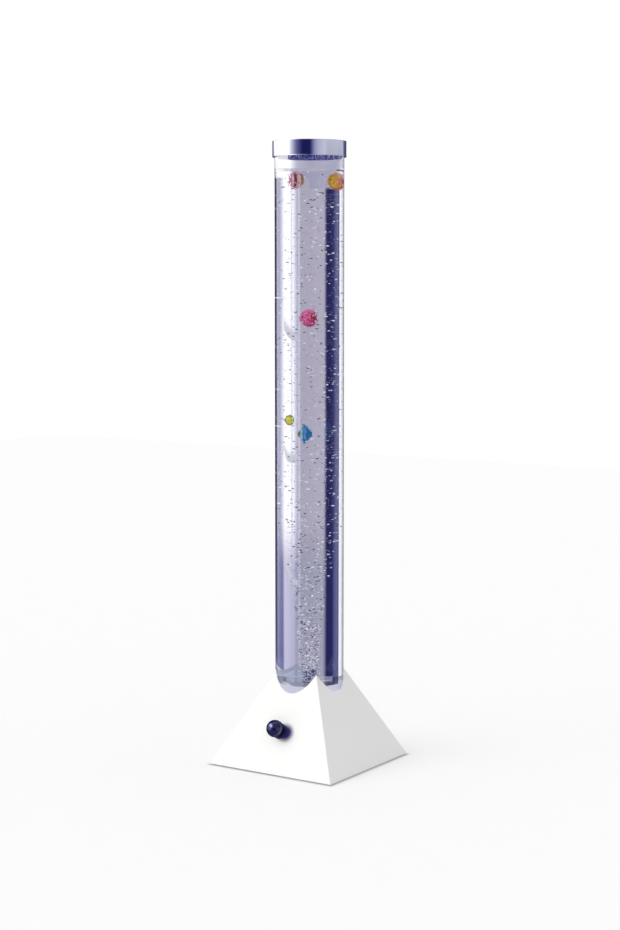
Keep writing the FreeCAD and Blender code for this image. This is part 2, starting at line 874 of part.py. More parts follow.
def core_cradle():
    """Holds the core at its height over the case's floor."""
    x0 = arm_reach + magnet_gap
    x1 = x0 + core_leg + core_back
    low = arm_mid - core_middle_leg / 2 - core_window - core_outer_leg
    inner = core_width / 2 + bond_gap
    outer = core_width / 2 + cradle_wall
    cradle = block(x0, x1, pump_middle - outer, pump_middle + outer, pump_floor, low + cradle_grip)
    slot = block(x0 - over, x1 + over, pump_middle - inner, pump_middle + inner, low, low + cradle_grip + over)
    return cradle.cut(slot)


def pump_coil():
    x1 = arm_reach + magnet_gap + core_leg - coil_slack
    x0 = x1 - coil_length
    inner_y = core_width / 2 + coil_slack
    inner_z = core_middle_leg / 2 + coil_slack
    outer_y = inner_y + coil_build
    outer_z = inner_z + coil_build
    outer = block(x0, x1, pump_middle - outer_y, pump_middle + outer_y, arm_mid - outer_z, arm_mid + outer_z)
    lengthwise = [edge for edge in outer.Edges if edge.BoundBox.XLength > coil_length / 2]
    outer = outer.makeFillet(coil_round, lengthwise)
    hole = block(x0 - over, x1 + over, pump_middle - inner_y, pump_middle + inner_y, arm_mid - inner_z,
                 arm_mid + inner_z)
    return outer.cut(hole)


# ---- push ball
def clip_top():
    return -neck_length - head_slack


def stem_end():
    return clip_top() - clip_thick - stem_tail


def switch_top():
    return stem_end() - plunger_length + switch_inset()


def switch_inset():
    return switch_well - button_travel - plunger_slack


def switch_floor():
    return switch_top() - switch_height


def button_collar():
    """A shallow dished ring that the ball sinks into, with a threaded neck through the wall."""
    disc = bevelled(button_collar_radius, 0, button_collar_proud, button_collar_bevel)
    neck = cylinder(neck_radius, -neck_length, 0)
    dish = Part.makeSphere(ball_radius + dish_slack, Vector(0, 0, ball_stand - button_travel))
    stem_hole = cylinder(stem_radius + stem_slack, -neck_length - over, button_collar_proud + over)
    return on_front(disc.fuse(neck).cut(dish).cut(stem_hole).removeSplitter())


def ring_nut():
    nut = hexagon(ring_nut_across, -shell_wall - ring_nut_height, -shell_wall, neck_radius + bond_gap)
    return on_front(nut)


def ball_button():
    ball = Part.makeSphere(ball_radius, Vector(0, 0, ball_stand))
    stem = cylinder(stem_radius, stem_end(), ball_stand)
    groove = ring(stem_radius + over, stem_radius - clip_depth, clip_top() - clip_thick, clip_top())
    return on_front(ball.fuse(stem).cut(groove).removeSplitter())


def button_clip():
    clip = ring(clip_radius, stem_radius - clip_depth + bond_gap, clip_top() - clip_thick + bond_gap,
                clip_top() - bond_gap)
    mouth = block(0, clip_radius + over, -clip_mouth / 2, clip_mouth / 2, clip_top() - clip_thick - over,
                  clip_top() + over)
    return on_front(clip.cut(mouth))


def switch_plunger():
    low = stem_end() - plunger_length
    return on_front(cylinder(plunger_radius, low, stem_end()))


def push_switch():
    half = switch_side / 2
    body = rounded_block(-half, half, -half, half, switch_floor(), switch_top(), switch_round)
    well = cylinder(plunger_radius + plunger_slack, switch_top() - switch_well, switch_top() + over)
    return on_front(body.cut(well))


def switch_bracket():
    reach = post_place + post_radius + bracket_margin
    half = bracket_width / 2
    low = switch_floor() - bracket_thick
    plate = rounded_block(-reach, reach, -half, half, low, switch_floor(), bracket_round)
    for side in (-1, 1):
        hole = cylinder(small_shank + bond_gap, low - over, switch_floor() + over, side * post_place, 0)
        plate = plate.cut(hole)
    return on_front(plate)


def switch_screws():
    under = switch_floor() - bracket_thick
    screws = []
    for side in (-1, 1):
        shape = screw(side * post_place, 0, under, small_screw_length, small_shank, small_head_radius,
                      small_head_height)
        screws.append(on_front(shape))
    return screws


# ---- inlet
def dc_jack():
    body = bevelled(jack_flange, 0, jack_flange_height, jack_bevel).fuse(cylinder(jack_thread, -jack_depth, 0))
    body = body.cut(cylinder(jack_socket, -socket_depth, jack_flange_height + over))
    pieces = [cylinder(jack_pin, -socket_depth - over, jack_pin_length - socket_depth)]
    for side in (-1, 1):
        x = side * tag_place
        pieces.append(block(x - tag_thick / 2, x + tag_thick / 2, -tag_width / 2, tag_width / 2,
                            -jack_depth - tag_length, -jack_depth + over))
    return on_back(body.multiFuse(pieces).removeSplitter())


def jack_nut():
    return on_back(hexagon(jack_nut_across, -shell_wall - jack_nut_height, -shell_wall, jack_thread + bond_gap))


# ---- control board
def control_board():
    top = control_low + board_thick
    board = block(control_left, control_left + control_width, control_front, control_front + control_length,
                  control_low, top)
    for x, y in standoff_places():
        board = board.cut(cylinder(small_shank + bond_gap, control_low - over, top + over, x, y))
    return board


def wire_socket(x, y, z):
    socket = block(x, x + socket_wide, y, y + socket_long, z, z + socket_tall)
    well = block(x + socket_wall, x + socket_wide - socket_wall, y + socket_wall, y + socket_long - socket_wall,
                 z + socket_floor, z + socket_tall + over)
    return socket.cut(well)


def control_parts():
    """A chip, two capacitors, a choke and three wire sockets standing on the board."""
    z = control_low + board_thick
    x, y = control_left, control_front
    chip_x, chip_y = x + chip_place[0], y + chip_place[1]
    parts = [block(chip_x, chip_x + chip_side, chip_y, chip_y + chip_side, z, z + chip_height)]
    for can_x, can_y in can_places:
        parts.append(bevelled(can_radius, z, z + can_height, can_bevel, x + can_x, y + can_y))
    parts.append(ring(choke_radius, choke_bore, z, z + choke_height, x + choke_place[0], y + choke_place[1]))
    for step in range(socket_count):
        parts.append(wire_socket(x + socket_inset, y + socket_start + socket_pitch * step, z))
    return parts


def control_screws():
    return [hung_screw(x, y, control_low + board_thick) for x, y in standoff_places()]


# ---- cap
def cap_shell():
    outer = bevelled(cap_r, cap_low, total_height, cap_bevel)
    return outer.cut(cylinder(cap_r - cap_wall, cap_low - over, total_height - cap_wall))


def cap_plug():
    """A shallow cup that hangs in the tube's mouth, with a flange under the cap's top."""
    outer = tube_bore - plug_slack
    inner = outer - plug_wall
    low = cap_low - plug_drop
    flange_low = tube_top + pad_thick
    plug = cylinder(outer, low, flange_low).cut(cylinder(inner, low + plug_wall, flange_low + over))
    plug = plug.fuse(ring(cap_r - cap_wall - head_slack, inner, flange_low, flange_low + plug_flange))
    notch_low = flange_low - notch_height
    for step in range(pad_count):
        notch = block(0, outer + over, -notch_width / 2, notch_width / 2, notch_low, flange_low)
        notch = notch.cut(cylinder(inner - over, notch_low - over, flange_low + over))
        notch.rotate(Vector(0, 0, 0), Vector(0, 0, 1), 360 / pad_count * (step + 0.5))
        plug = plug.cut(notch)
    return plug.removeSplitter()


def cap_pads():
    """Rubber pads between the tube's end and the plug's flange. Air leaves between them."""
    pads = []
    top = tube_top + pad_thick
    upright = Vector(0, 0, 1)
    for step in range(pad_count):
        pad = ring(tube_r + pad_overhang, tube_bore + head_slack, tube_top, top)
        wedge = Part.makeCylinder(tube_r + 2 * over, pad_thick + 2 * over, Vector(0, 0, tube_top - over), upright,
                                  pad_sweep)
        wedge.rotate(Vector(0, 0, 0), upright, 360 / pad_count * step - pad_sweep / 2)
        pads.append(pad.common(wedge))
    return pads


# ---- fish: outlines are shares of the fish's length, forwards to the mouth at -X, and of its height
body_stations = [(-0.50, 0.12), (-0.46, 0.42), (-0.38, 0.68), (-0.26, 0.9), (-0.12, 1.0), (0.04, 0.96),
                 (0.18, 0.74), (0.29, 0.42), (0.38, 0.22)]
body_share = 0.76             # of the height, without the fins
body_flats = 16
round_fin = [(-0.34, 0.20), (-0.02, 0.50), (0.32, 0.34), (0.26, 0.08)]
tall_fin = [(-0.28, 0.20), (0.04, 0.50), (0.34, 0.30), (0.26, 0.08)]
fan_tail = [(0.34, 0.08), (0.50, 0.34), (0.44, 0.0), (0.50, -0.34), (0.34, -0.08)]


def fish_body(length, height, thick):
    """Oval sections from the mouth to the root of the tail, joined by flats."""
    wires = []
    for along, share in body_stations:
        tall = height * body_share / 2 * share
        wide = thick / 2 * share
        section = []
        for step in range(body_flats + 1):
            turn = math.tau * step / body_flats
            section.append(Vector(length * along, wide * math.sin(turn), tall * math.cos(turn)))
        wires.append(Part.makePolygon(section))
    return Part.makeLoft(wires, True, True)


def plate(edges):
    """A fin: the outline's edges, as thick as a fin to each side of the middle."""
    return Part.Face(Part.Wire(edges)).extrude(Vector(0, fin_thick, 0))


def spots(points, length, height, side):
    return [Vector(x * length, -fin_thick / 2, side * z * height) for x, z in points]


def fin(points, length, height, side):
    """From the back, or the belly, a bow over the first three points and straight back along its root."""
    first, crest, last, root = spots(points, length, height, side)
    return plate([Part.Arc(first, crest, last).toShape(), Part.LineSegment(last, root).toShape(),
                  Part.LineSegment(root, first).toShape()])


def tail_fin(length, height):
    """A fan with a hollow end."""
    upper_root, upper_tip, notch, lower_tip, lower_root = spots(fan_tail, length, height, 1)
    return plate([Part.LineSegment(upper_root, upper_tip).toShape(), Part.Arc(upper_tip, notch, lower_tip).toShape(),
                  Part.LineSegment(lower_tip, lower_root).toShape(),
                  Part.LineSegment(lower_root, upper_root).toShape()])


def fish(length, height, thick, fin_outline, turn, x, y, depth):
    """A whole fish, turned about its middle and hung at a depth under the water line."""
    fins = [fin(fin_outline, length, height, side) for side in (1, -1)]
    shape = fish_body(length, height, thick).multiFuse(fins + [tail_fin(length, height)]).removeSplitter()
    shape.rotate(Vector(0, 0, 0), Vector(0, 0, 1), turn)
    shape.translate(Vector(x, y, water_line - depth))
    return shape


# name, length, height, thickness, fins, heading, X, Y and depth
fish_list = [
    ("fish_striped", 17.0, 27.0, 5.0, round_fin, 208, -18.3, 3.9, 14.0),
    ("fish_yellow", 21.0, 28.0, 5.5, round_fin, 50, 19.3, 22.5, 16.0),
    ("fish_pink", 25.0, 29.0, 6.0, round_fin, 33, 14.5, -22.8, 210.2),
    ("fish_lemon", 13.0, 18.0, 4.5, round_fin, 24, -16.3, -16.1, 357.8),
    ("fish_blue", 14.0, 31.0, 4.5, tall_fin, 32, -16.7, 17.9, 379.5),
]


os.makedirs("parts", exist_ok=True)

save("base_shell", base_shell())
save("base_cover", base_cover())
save("cover_screws", *cover_screws())
save("rubber_feet", *rubber_feet())
save("tube", tube())
save("tube_floor", tube_floor())
save("tube_flange", tube_flange())
save("tube_gasket", tube_gasket())
save("tube_clamp", tube_clamp())
save("clamp_screws", *clamp_screws())
save("led_carrier", led_carrier())
save("led_board", led_board())
save("leds", *leds())
save("led_screws", *led_screws())
save("air_nipple", air_nipple())
save("nipple_seal", nipple_seal())
save("nipple_nut", nipple_nut())
save("air_stone", air_stone())
save("check_valve", check_valve())
save("valve_flap", valve_flap())
save("lower_hose", lower_hose())
save("upper_hose", upper_hose())
save("pump_case", pump_case())
save("pump_lid", pump_lid())
save("pump_screws", *pump_screws())
save("pump_grommets", *pump_grommets())
save("valve_block", valve_block())
save("block_flap", block_flap())
save("bellows", bellows())
save("pump_arm", pump_arm())
save("arm_magnet", arm_magnet())
save("arm_mount", arm_mount())
save("arm_pin", arm_pin())
save("pump_core", pump_core())
save("core_cradle", core_cradle())
save("pump_coil", pump_coil())
save("ball_button", ball_button())
save("button_clip", button_clip())
save("button_collar", button_collar())
save("ring_nut", ring_nut())
save("switch_plunger", switch_plunger())
save("push_switch", push_switch())
save("switch_bracket", switch_bracket())
save("switch_screws", *switch_screws())
save("dc_jack", dc_jack())
save("jack_nut", jack_nut())
save("control_board", control_board())
save("control_parts", *control_parts())
save("control_screws", *control_screws())
save("cap_shell", cap_shell())
save("cap_plug", cap_plug())
save("cap_pads", *cap_pads())
for name, *form in fish_list:
    save(name, fish(*form))
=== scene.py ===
import json
import math

import bmesh
import bpy
from mathutils import Matrix, Vector


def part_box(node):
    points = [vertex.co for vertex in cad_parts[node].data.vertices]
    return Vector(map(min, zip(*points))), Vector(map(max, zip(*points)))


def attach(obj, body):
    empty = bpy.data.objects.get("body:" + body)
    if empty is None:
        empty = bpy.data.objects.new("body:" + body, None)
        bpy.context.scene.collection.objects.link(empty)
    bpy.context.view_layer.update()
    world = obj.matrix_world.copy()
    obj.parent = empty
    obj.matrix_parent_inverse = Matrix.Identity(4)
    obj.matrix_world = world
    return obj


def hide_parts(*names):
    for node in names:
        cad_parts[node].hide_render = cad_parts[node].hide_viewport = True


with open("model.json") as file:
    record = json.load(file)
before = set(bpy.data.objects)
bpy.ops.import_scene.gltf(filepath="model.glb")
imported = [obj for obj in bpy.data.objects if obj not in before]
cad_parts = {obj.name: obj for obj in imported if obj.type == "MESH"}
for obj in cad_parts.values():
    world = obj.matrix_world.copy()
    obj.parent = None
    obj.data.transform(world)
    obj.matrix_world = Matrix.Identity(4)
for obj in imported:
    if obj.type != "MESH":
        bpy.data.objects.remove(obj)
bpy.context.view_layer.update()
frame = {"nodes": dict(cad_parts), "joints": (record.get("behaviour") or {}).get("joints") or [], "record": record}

mm = 0.001
tau = 2 * math.pi


# colours and shader sums
def ink(red, green, blue):
    # a colour as it is read off a screen, turned into light
    def toLight(level):
        share = level / 255
        return share / 12.92 if share <= 0.04045 else ((share + 0.055) / 1.055) ** 2.4
    return (toLight(red), toLight(green), toLight(blue), 1.0)


class Wire:
    # a socket that can be added, multiplied and so on
    def __init__(self, board, socket):
        self.board = board
        self.socket = socket

    def sum(self, operation, *values):
        return self.board.node("ShaderNodeMath", {"operation": operation}, values)

    def __add__(self, other):
        return self.sum("ADD", self, other)

    def __radd__(self, other):
        return self.sum("ADD", other, self)

    def __sub__(self, other):
        return self.sum("SUBTRACT", self, other)

    def __rsub__(self, other):
        return self.sum("SUBTRACT", other, self)

    def __mul__(self, other):
        return self.sum("MULTIPLY", self, other)

    def __rmul__(self, other):
        return self.sum("MULTIPLY", other, self)

    def __truediv__(self, other):
        return self.sum("DIVIDE", self, other)

    def __rtruediv__(self, other):
        return self.sum("DIVIDE", other, self)

    def __pow__(self, other):
        return self.sum("POWER", self, other)

    def __abs__(self):
        return self.sum("ABSOLUTE", self)

    def larger(self, other):
        return self.sum("MAXIMUM", self, other)

    def over(self, low, high):
        # 0 below low, 1 above high, soft between
        return self.board.node("ShaderNodeMapRange", {"interpolation_type": "SMOOTHSTEP"},
                               {"Value": self, "From Min": low, "From Max": high})

    def between(self, start, full, fade, end):
        # 1 from full to fade, soft on both sides
        return self.over(start, full) * (1 - self.over(fade, end))


class Board:
    # a node tree that is being filled, of a material, the world or a modifier
    def __init__(self, tree):
        self.tree = tree
        tree.nodes.clear()

    def node(self, kind, settings=None, values=(), out=0):
        made = self.tree.nodes.new(kind)
        for name, setting in (settings or {}).items():
            if name == "stops":
                self.setStops(made.color_ramp, setting)
            else:
                setattr(made, name, setting)
        pairs = values.items() if isinstance(values, dict) else enumerate(values)
        for name, value in pairs:
            if isinstance(value, Wire):
                self.tree.links.new(value.socket, made.inputs[name])
            else:
                made.inputs[name].default_value = value
        return Wire(self, made.outputs[out]) if made.outputs else None

    def setStops(self, ramp, stops):
        while len(ramp.elements) < len(stops):
            ramp.elements.new(0.5)
        for element, (place, colour) in zip(ramp.elements, stops):
            element.position = place
            element.color = colour

    def blend(self, share, first, second):
        return self.node("ShaderNodeMix", {"data_type": "RGBA"}, {0: share, 6: first, 7: second}, out=2)

    def tint(self, share, colour, darker, lighter):
        # one colour between a darker and a lighter cast of itself
        return self.blend(share, scaled(colour, darker), scaled(colour, lighter))

    def place(self):
        return self.node("ShaderNodeTexCoord", out="Object")

    def stretched(self, vector, across, along):
        ways = (across, across, along)
        return self.node("ShaderNodeVectorMath", {"operation": "MULTIPLY"}, [vector, ways])

    def noise(self, vector, scale, detail=2.0, roughness=0.5):
        return self.node("ShaderNodeTexNoise", {},
                         {"Vector": vector, "Scale": scale, "Detail": detail, "Roughness": roughness})

    def cells(self, vector, scale, out="Distance", feature="F1"):
        return self.node("ShaderNodeTexVoronoi", {"feature": feature},
                         {"Vector": vector, "Scale": scale}, out=out)

    def wave(self, vector, axis, scale, distortion=0.0):
        return self.node("ShaderNodeTexWave", {"bands_direction": axis},
                         {"Vector": vector, "Scale": scale, "Distortion": distortion})

    def bump(self, height, strength, depth):
        return self.node("ShaderNodeBump", {}, {"Height": height, "Strength": strength, "Distance": depth})

    def parts(self, vector):
        # a vector's X, Y and Z
        split = self.node("ShaderNodeSeparateXYZ", {}, [vector]).socket.node
        return [Wire(self, split.outputs[axis]) for axis in "XYZ"]

    def measure(self, operation, *vectors):
        # a distance, a length or a dot product
        return self.node("ShaderNodeVectorMath", {"operation": operation}, vectors, out=1)

    def rays(self, *kinds):
        # 1 for a ray of that kind
        path = self.node("ShaderNodeLightPath").socket.node
        return [Wire(self, path.outputs["Is " + kind + " Ray"]) for kind in kinds]

    def join(self, share, first, second):
        # one shader over another
        return self.node("ShaderNodeMixShader", {}, [share, first, second])

    def letThrough(self, share, surface, colour=(1.0, 1.0, 1.0, 1.0)):
        # that share of the light goes straight on, tinted
        return self.join(share, surface, self.node("ShaderNodeBsdfTransparent", {}, {"Color": colour}))


def scaled(colour, share):
    return tuple(min(level * share, 1.0) for level in colour[:3]) + (1.0,)


def middleOf(node):
    low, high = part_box(node)
    return (low + high) / 2


def startPaint(name):
    material = bpy.data.materials.new(name)
    material.use_nodes = True
    board = Board(material.node_tree)
    board.material = material
    return board


def closePaint(board, surface, **more):
    board.node("ShaderNodeOutputMaterial", {}, {"Surface": surface, **more})
    return board.material


def principled(board, **sockets):
    values = {name.replace("_", " "): value for name, value in sockets.items()}
    return board.node("ShaderNodeBsdfPrincipled", {}, values)


def coat(board, **sockets):
    # closes a paint that is a single surface
    return closePaint(board, principled(board, **sockets))


# finishes
def mouldedPlastic(name, look):
    # moulded plastic: a slow cloud of shade, a fine skin and a few dull rubs
    board = startPaint(name)
    place = board.place()
    cloud = board.noise(place, look["cloud"], 3.0)
    skin = board.noise(place, look["grain"], 2.0)
    rubs = board.noise(board.stretched(place, 1.0, 0.25), look["cloud"] * 9, 4.0, 0.7).over(0.55, 0.75)
    colour = board.tint(cloud.over(0.3, 0.7), look["colour"], 1 - look["mottle"], 1 + look["mottle"])
    rough = rubs * look["rubbed"] + skin * 0.04 + (look["rough"] - 0.02)
    relief = board.bump(skin, look["relief"], 0.0002)
    return coat(board, Base_Color=colour, Roughness=rough, Normal=relief, IOR=1.5)


def pearlPaint(name, look):
    # dark lacquer full of fine flakes, which tint what it mirrors
    board = startPaint(name)
    place = board.place()
    flakes = board.cells(place, look["flakes"], out="Color").over(0.5, 0.9)
    drift = board.noise(place, look["drift"], 3.0)
    lacquer = board.tint(drift.over(0.3, 0.7), look["colour"], 0.7, 1.25)
    colour = board.blend(flakes * 0.35, lacquer, look["flake"])
    relief = board.bump(drift, 0.1, 0.0003)
    return coat(board, Base_Color=colour, Metallic=1.0, Roughness=drift * 0.06 + 0.16,
                Normal=relief, Specular_Tint=look["edge"])


def shellPaint(name, look):
    # glossy shell: a soft navy painted shadow of the push ball lies beside it, and its inside is painted with the
    # lamps' tint and glows, as painted light
    board = startPaint(name)
    place = board.place()
    cloud = board.noise(place, 5.0, 3.0)
    skin = board.noise(place, 900.0, 2.0)
    # painted shadow of the push ball: navy that fades out round a point below and to the right of it
    spray = 1 - board.measure("DISTANCE", place, look["spray"]).over(look["sprayCore"], look["sprayEnd"])
    alongX, alongY, alongZ = board.parts(place)
    depth = look["foot"] - abs(alongX).larger(abs(alongY)) - (alongZ - look["rim"]) * look["lean"]
    inside = depth.over(0.15 * mm, 0.5 * mm)
    plain = board.tint(cloud, look["colour"], 0.99, 1.01)
    # painted light: the bore's wall takes the lamps' tint and gives it off as a glow of its own
    lit = board.tint(board.noise(place, 26.0, 2.0).over(0.3, 0.7), look["glow"], 0.82, 1.15)
    colour = board.blend(inside, board.blend(spray, plain, look["navy"]), lit)
    light = board.blend(inside, (0.0, 0.0, 0.0, 1.0), lit)
    relief = board.bump(skin, 0.04, 0.0002)
    return coat(board, Base_Color=colour, Roughness=skin * 0.05 + 0.28, Normal=relief, IOR=1.5,
                Emission_Color=light, Emission_Strength=look["strength"])


def drawnMetal(name, look):
    # metal with a drawn or turned grain that runs along one way
    board = startPaint(name)
    place = board.place()
    grain = board.noise(board.stretched(place, look["across"], look["along"]), look["grain"], 3.0, 0.6)
    smudge = board.noise(place, 24.0, 3.0).over(0.45, 0.7)
    colour = board.tint(grain, look["colour"], 0.94, 1.03)
    rough = grain * look["spread"] + smudge * 0.03 + look["rough"]
    relief = board.bump(grain, look["relief"], 0.00005)
    return coat(board, Base_Color=colour, Metallic=1.0, Roughness=rough, Normal=relief)


def mattFoam(name, look):
    # closed foam without any shine, with fine open cells and long wet streaks whose pale colour is a painted
    # glint; one side is painted paler as painted light, and the whole gives off a painted glow of its own colour
    board = startPaint(name)
    place = board.place()
    pores = board.cells(place, 1100.0)
    across, along = (board.measure("DOT_PRODUCT", place, look[way]) for way in ("across", "along"))
    streaks = board.node("ShaderNodeCombineXYZ", {}, [across, along * 0.1, 0.0])
    # wet streaks, with their pale colour painted as the glint on them
    drops = board.noise(streaks, look["dropSize"], 3.0, 0.7).over(0.52, 0.57)
    # painted light: the side to the camera's left, far from this point, is painted pale
    worn = board.measure("DISTANCE", place, look["wornFrom"]).over(look["worn"], look["worn"] + 1.5 * mm)
    colour = board.blend(drops * 0.8, board.tint(pores, look["colour"], 0.6, 1.3), look["drops"])
    colour = board.blend(worn, colour, look["bleached"])
    relief = board.bump(pores, 0.4, 0.0002)
    # painted light: the foam glows with its own colour
    return coat(board, Base_Color=colour, Roughness=pores * 0.1 + 0.9, Normal=relief,
                Specular_IOR_Level=0.0, Emission_Color=colour, Emission_Strength=look["lit"])


def softRubber(name, look):
    # matt rubber with a dusty bloom
    board = startPaint(name)
    place = board.place()
    bloom = board.noise(place, 60.0, 4.0, 0.65).over(0.4, 0.75)
    pores = board.cells(place, 1400.0)
    colour = board.blend(bloom * 0.35, look["colour"], look["bloom"])
    relief = board.bump(pores, 0.25, 0.0001)
    return coat(board, Base_Color=colour, Roughness=bloom * 0.12 + 0.62, Normal=relief)


def clearPlastic(name, look):
    # see-through plastic that lets the lamps' light through, with faint drawing lines along Z
    board = startPaint(name)
    place = board.place()
    lines = board.noise(board.stretched(place, 1.0, 0.004), look["lines"], 2.0)
    haze = board.noise(place, 40.0, 4.0, 0.7).over(0.62, 0.85)
    relief = board.bump(lines, look["relief"], 0.0001)
    glass = principled(board, Base_Color=look["colour"], Roughness=haze * look["haze"], Normal=relief,
                       IOR=look["bend"], Transmission_Weight=1.0)
    if "rim" in look:
        # the lamps' light is painted as a glow where it leaves the edge
        fromAxis = board.measure("LENGTH", board.stretched(place, 1.0, 0.0))
        lit = board.node("ShaderNodeEmission", {}, {"Color": look["edge"]})
        outside = 1 - board.node("ShaderNodeNewGeometry", out="Backfacing")
        rim = fromAxis.over(look["rim"] - 0.4 * mm, look["rim"]) * outside
        glass = board.join(rim * 0.8, glass, lit)
    shadow, = board.rays("Shadow")
    return closePaint(board, board.letThrough(shadow, glass, look["colour"]))


def stillWater(name, look):
    # the water takes a little of every colour but blue, and trembles slightly at its skin;
    # its upper face, broken up by the bubbles, hardly mirrors
    board = startPaint(name)
    place = board.place()
    ripple = board.noise(place, look["ripple"], 2.0)
    relief = board.bump(ripple, look["relief"], 0.0002)
    glass = principled(board, Base_Color=(1.0, 1.0, 1.0, 1.0), Roughness=0.0, Normal=relief,
                       IOR=1.333, Transmission_Weight=1.0)
    shadow, = board.rays("Shadow")
    inside = board.node("ShaderNodeVolumeAbsorption", {},
                        {"Color": look["colour"], "Density": look["density"]})
    skin = board.parts(place)[2].over(look["top"] - 0.3 * mm, look["top"] - 0.1 * mm) * 0.9
    return closePaint(board, board.letThrough(shadow.larger(skin), glass), Volume=inside)


def porousStone(name, look):
    # bonded mineral grains with dark pores, painted to give off a glow of their own colour
    board = startPaint(name)
    place = board.place()
    grains = board.cells(place, 700.0, out="Color")
    pores = board.noise(place, 520.0, 2.0).over(0.46, 0.54)
    shade = board.blend(0.25, look["colour"], grains)
    colour = board.blend(pores, look["pore"], shade)
    relief = board.bump(pores, 0.8, 0.0004)
    return coat(board, Base_Color=colour, Roughness=pores * 0.1 + 0.82, Normal=relief,
                Emission_Color=colour, Emission_Strength=look["lit"])


def wovenBoard(name, look):
    # circuit board: the weave of the glass cloth shows through a coat of lacquer
    board = startPaint(name)
    place = board.place()
    weave = board.wave(place, "X", 260.0) * board.wave(place, "Y", 260.0)
    tracks = board.cells(board.stretched(place, 1.0, 0.0), 120.0, feature="DISTANCE_TO_EDGE")
    tracks = tracks.over(0.03, 0.06)
    colour = board.blend(tracks, scaled(look["colour"], look["track"]), look["colour"])
    relief = board.bump(weave * 0.3 + tracks, 0.25, 0.00005)
    return coat(board, Base_Color=colour, Roughness=weave * 0.1 + 0.3, Normal=relief,
                Coat_Weight=0.3, Coat_Roughness=0.15)


def stackedSteel(name, look):
    # thin sheets of steel on edge, with a little rust where they are cut
    board = startPaint(name)
    place = board.place()
    sheets = board.wave(place, "Y", 320.0, 0.4)
    rust = board.noise(place, 180.0, 4.0, 0.7).over(0.58, 0.75)
    colour = board.blend(rust, board.tint(sheets, look["colour"], 0.6, 1.1), look["rust"])
    relief = board.bump(sheets, 0.6, 0.0001)
    return coat(board, Base_Color=colour, Metallic=1.0 - rust, Roughness=rust * 0.4 + 0.38,
                Normal=relief)


def woundWire(name, look):
    # turns of lacquered copper wire, laid side by side along the coil
    board = startPaint(name)
    place = board.place()
    turns = board.wave(place, "X", 480.0)
    cloud = board.noise(place, 90.0, 3.0)
    colour = board.tint(turns * 0.7 + cloud * 0.3, look["colour"], 0.55, 1.15)
    relief = board.bump(turns, 0.8, 0.0002)
    return coat(board, Base_Color=colour, Metallic=0.9, Roughness=cloud * 0.1 + 0.22,
                Normal=relief, Coat_Weight=0.5, Coat_Roughness=0.08)


def lampLens(name, look):
    # a milky dome over the chips of each lamp
    board = startPaint(name)
    place = board.place()
    cloud = board.noise(place, 420.0, 3.0)
    colour = board.blend(cloud, look["colour"], look["chips"])
    relief = board.bump(cloud, 0.15, 0.0001)
    return coat(board, Base_Color=colour, Roughness=cloud * 0.1 + 0.16, Normal=relief,
                IOR=1.5, Coat_Weight=0.6, Coat_Roughness=0.05,
                Emission_Color=look["light"], Emission_Strength=look["strength"])


pressAxis = Vector(next(j for j in frame["joints"] if j["name"] == "button_press")["axis"]).normalized()

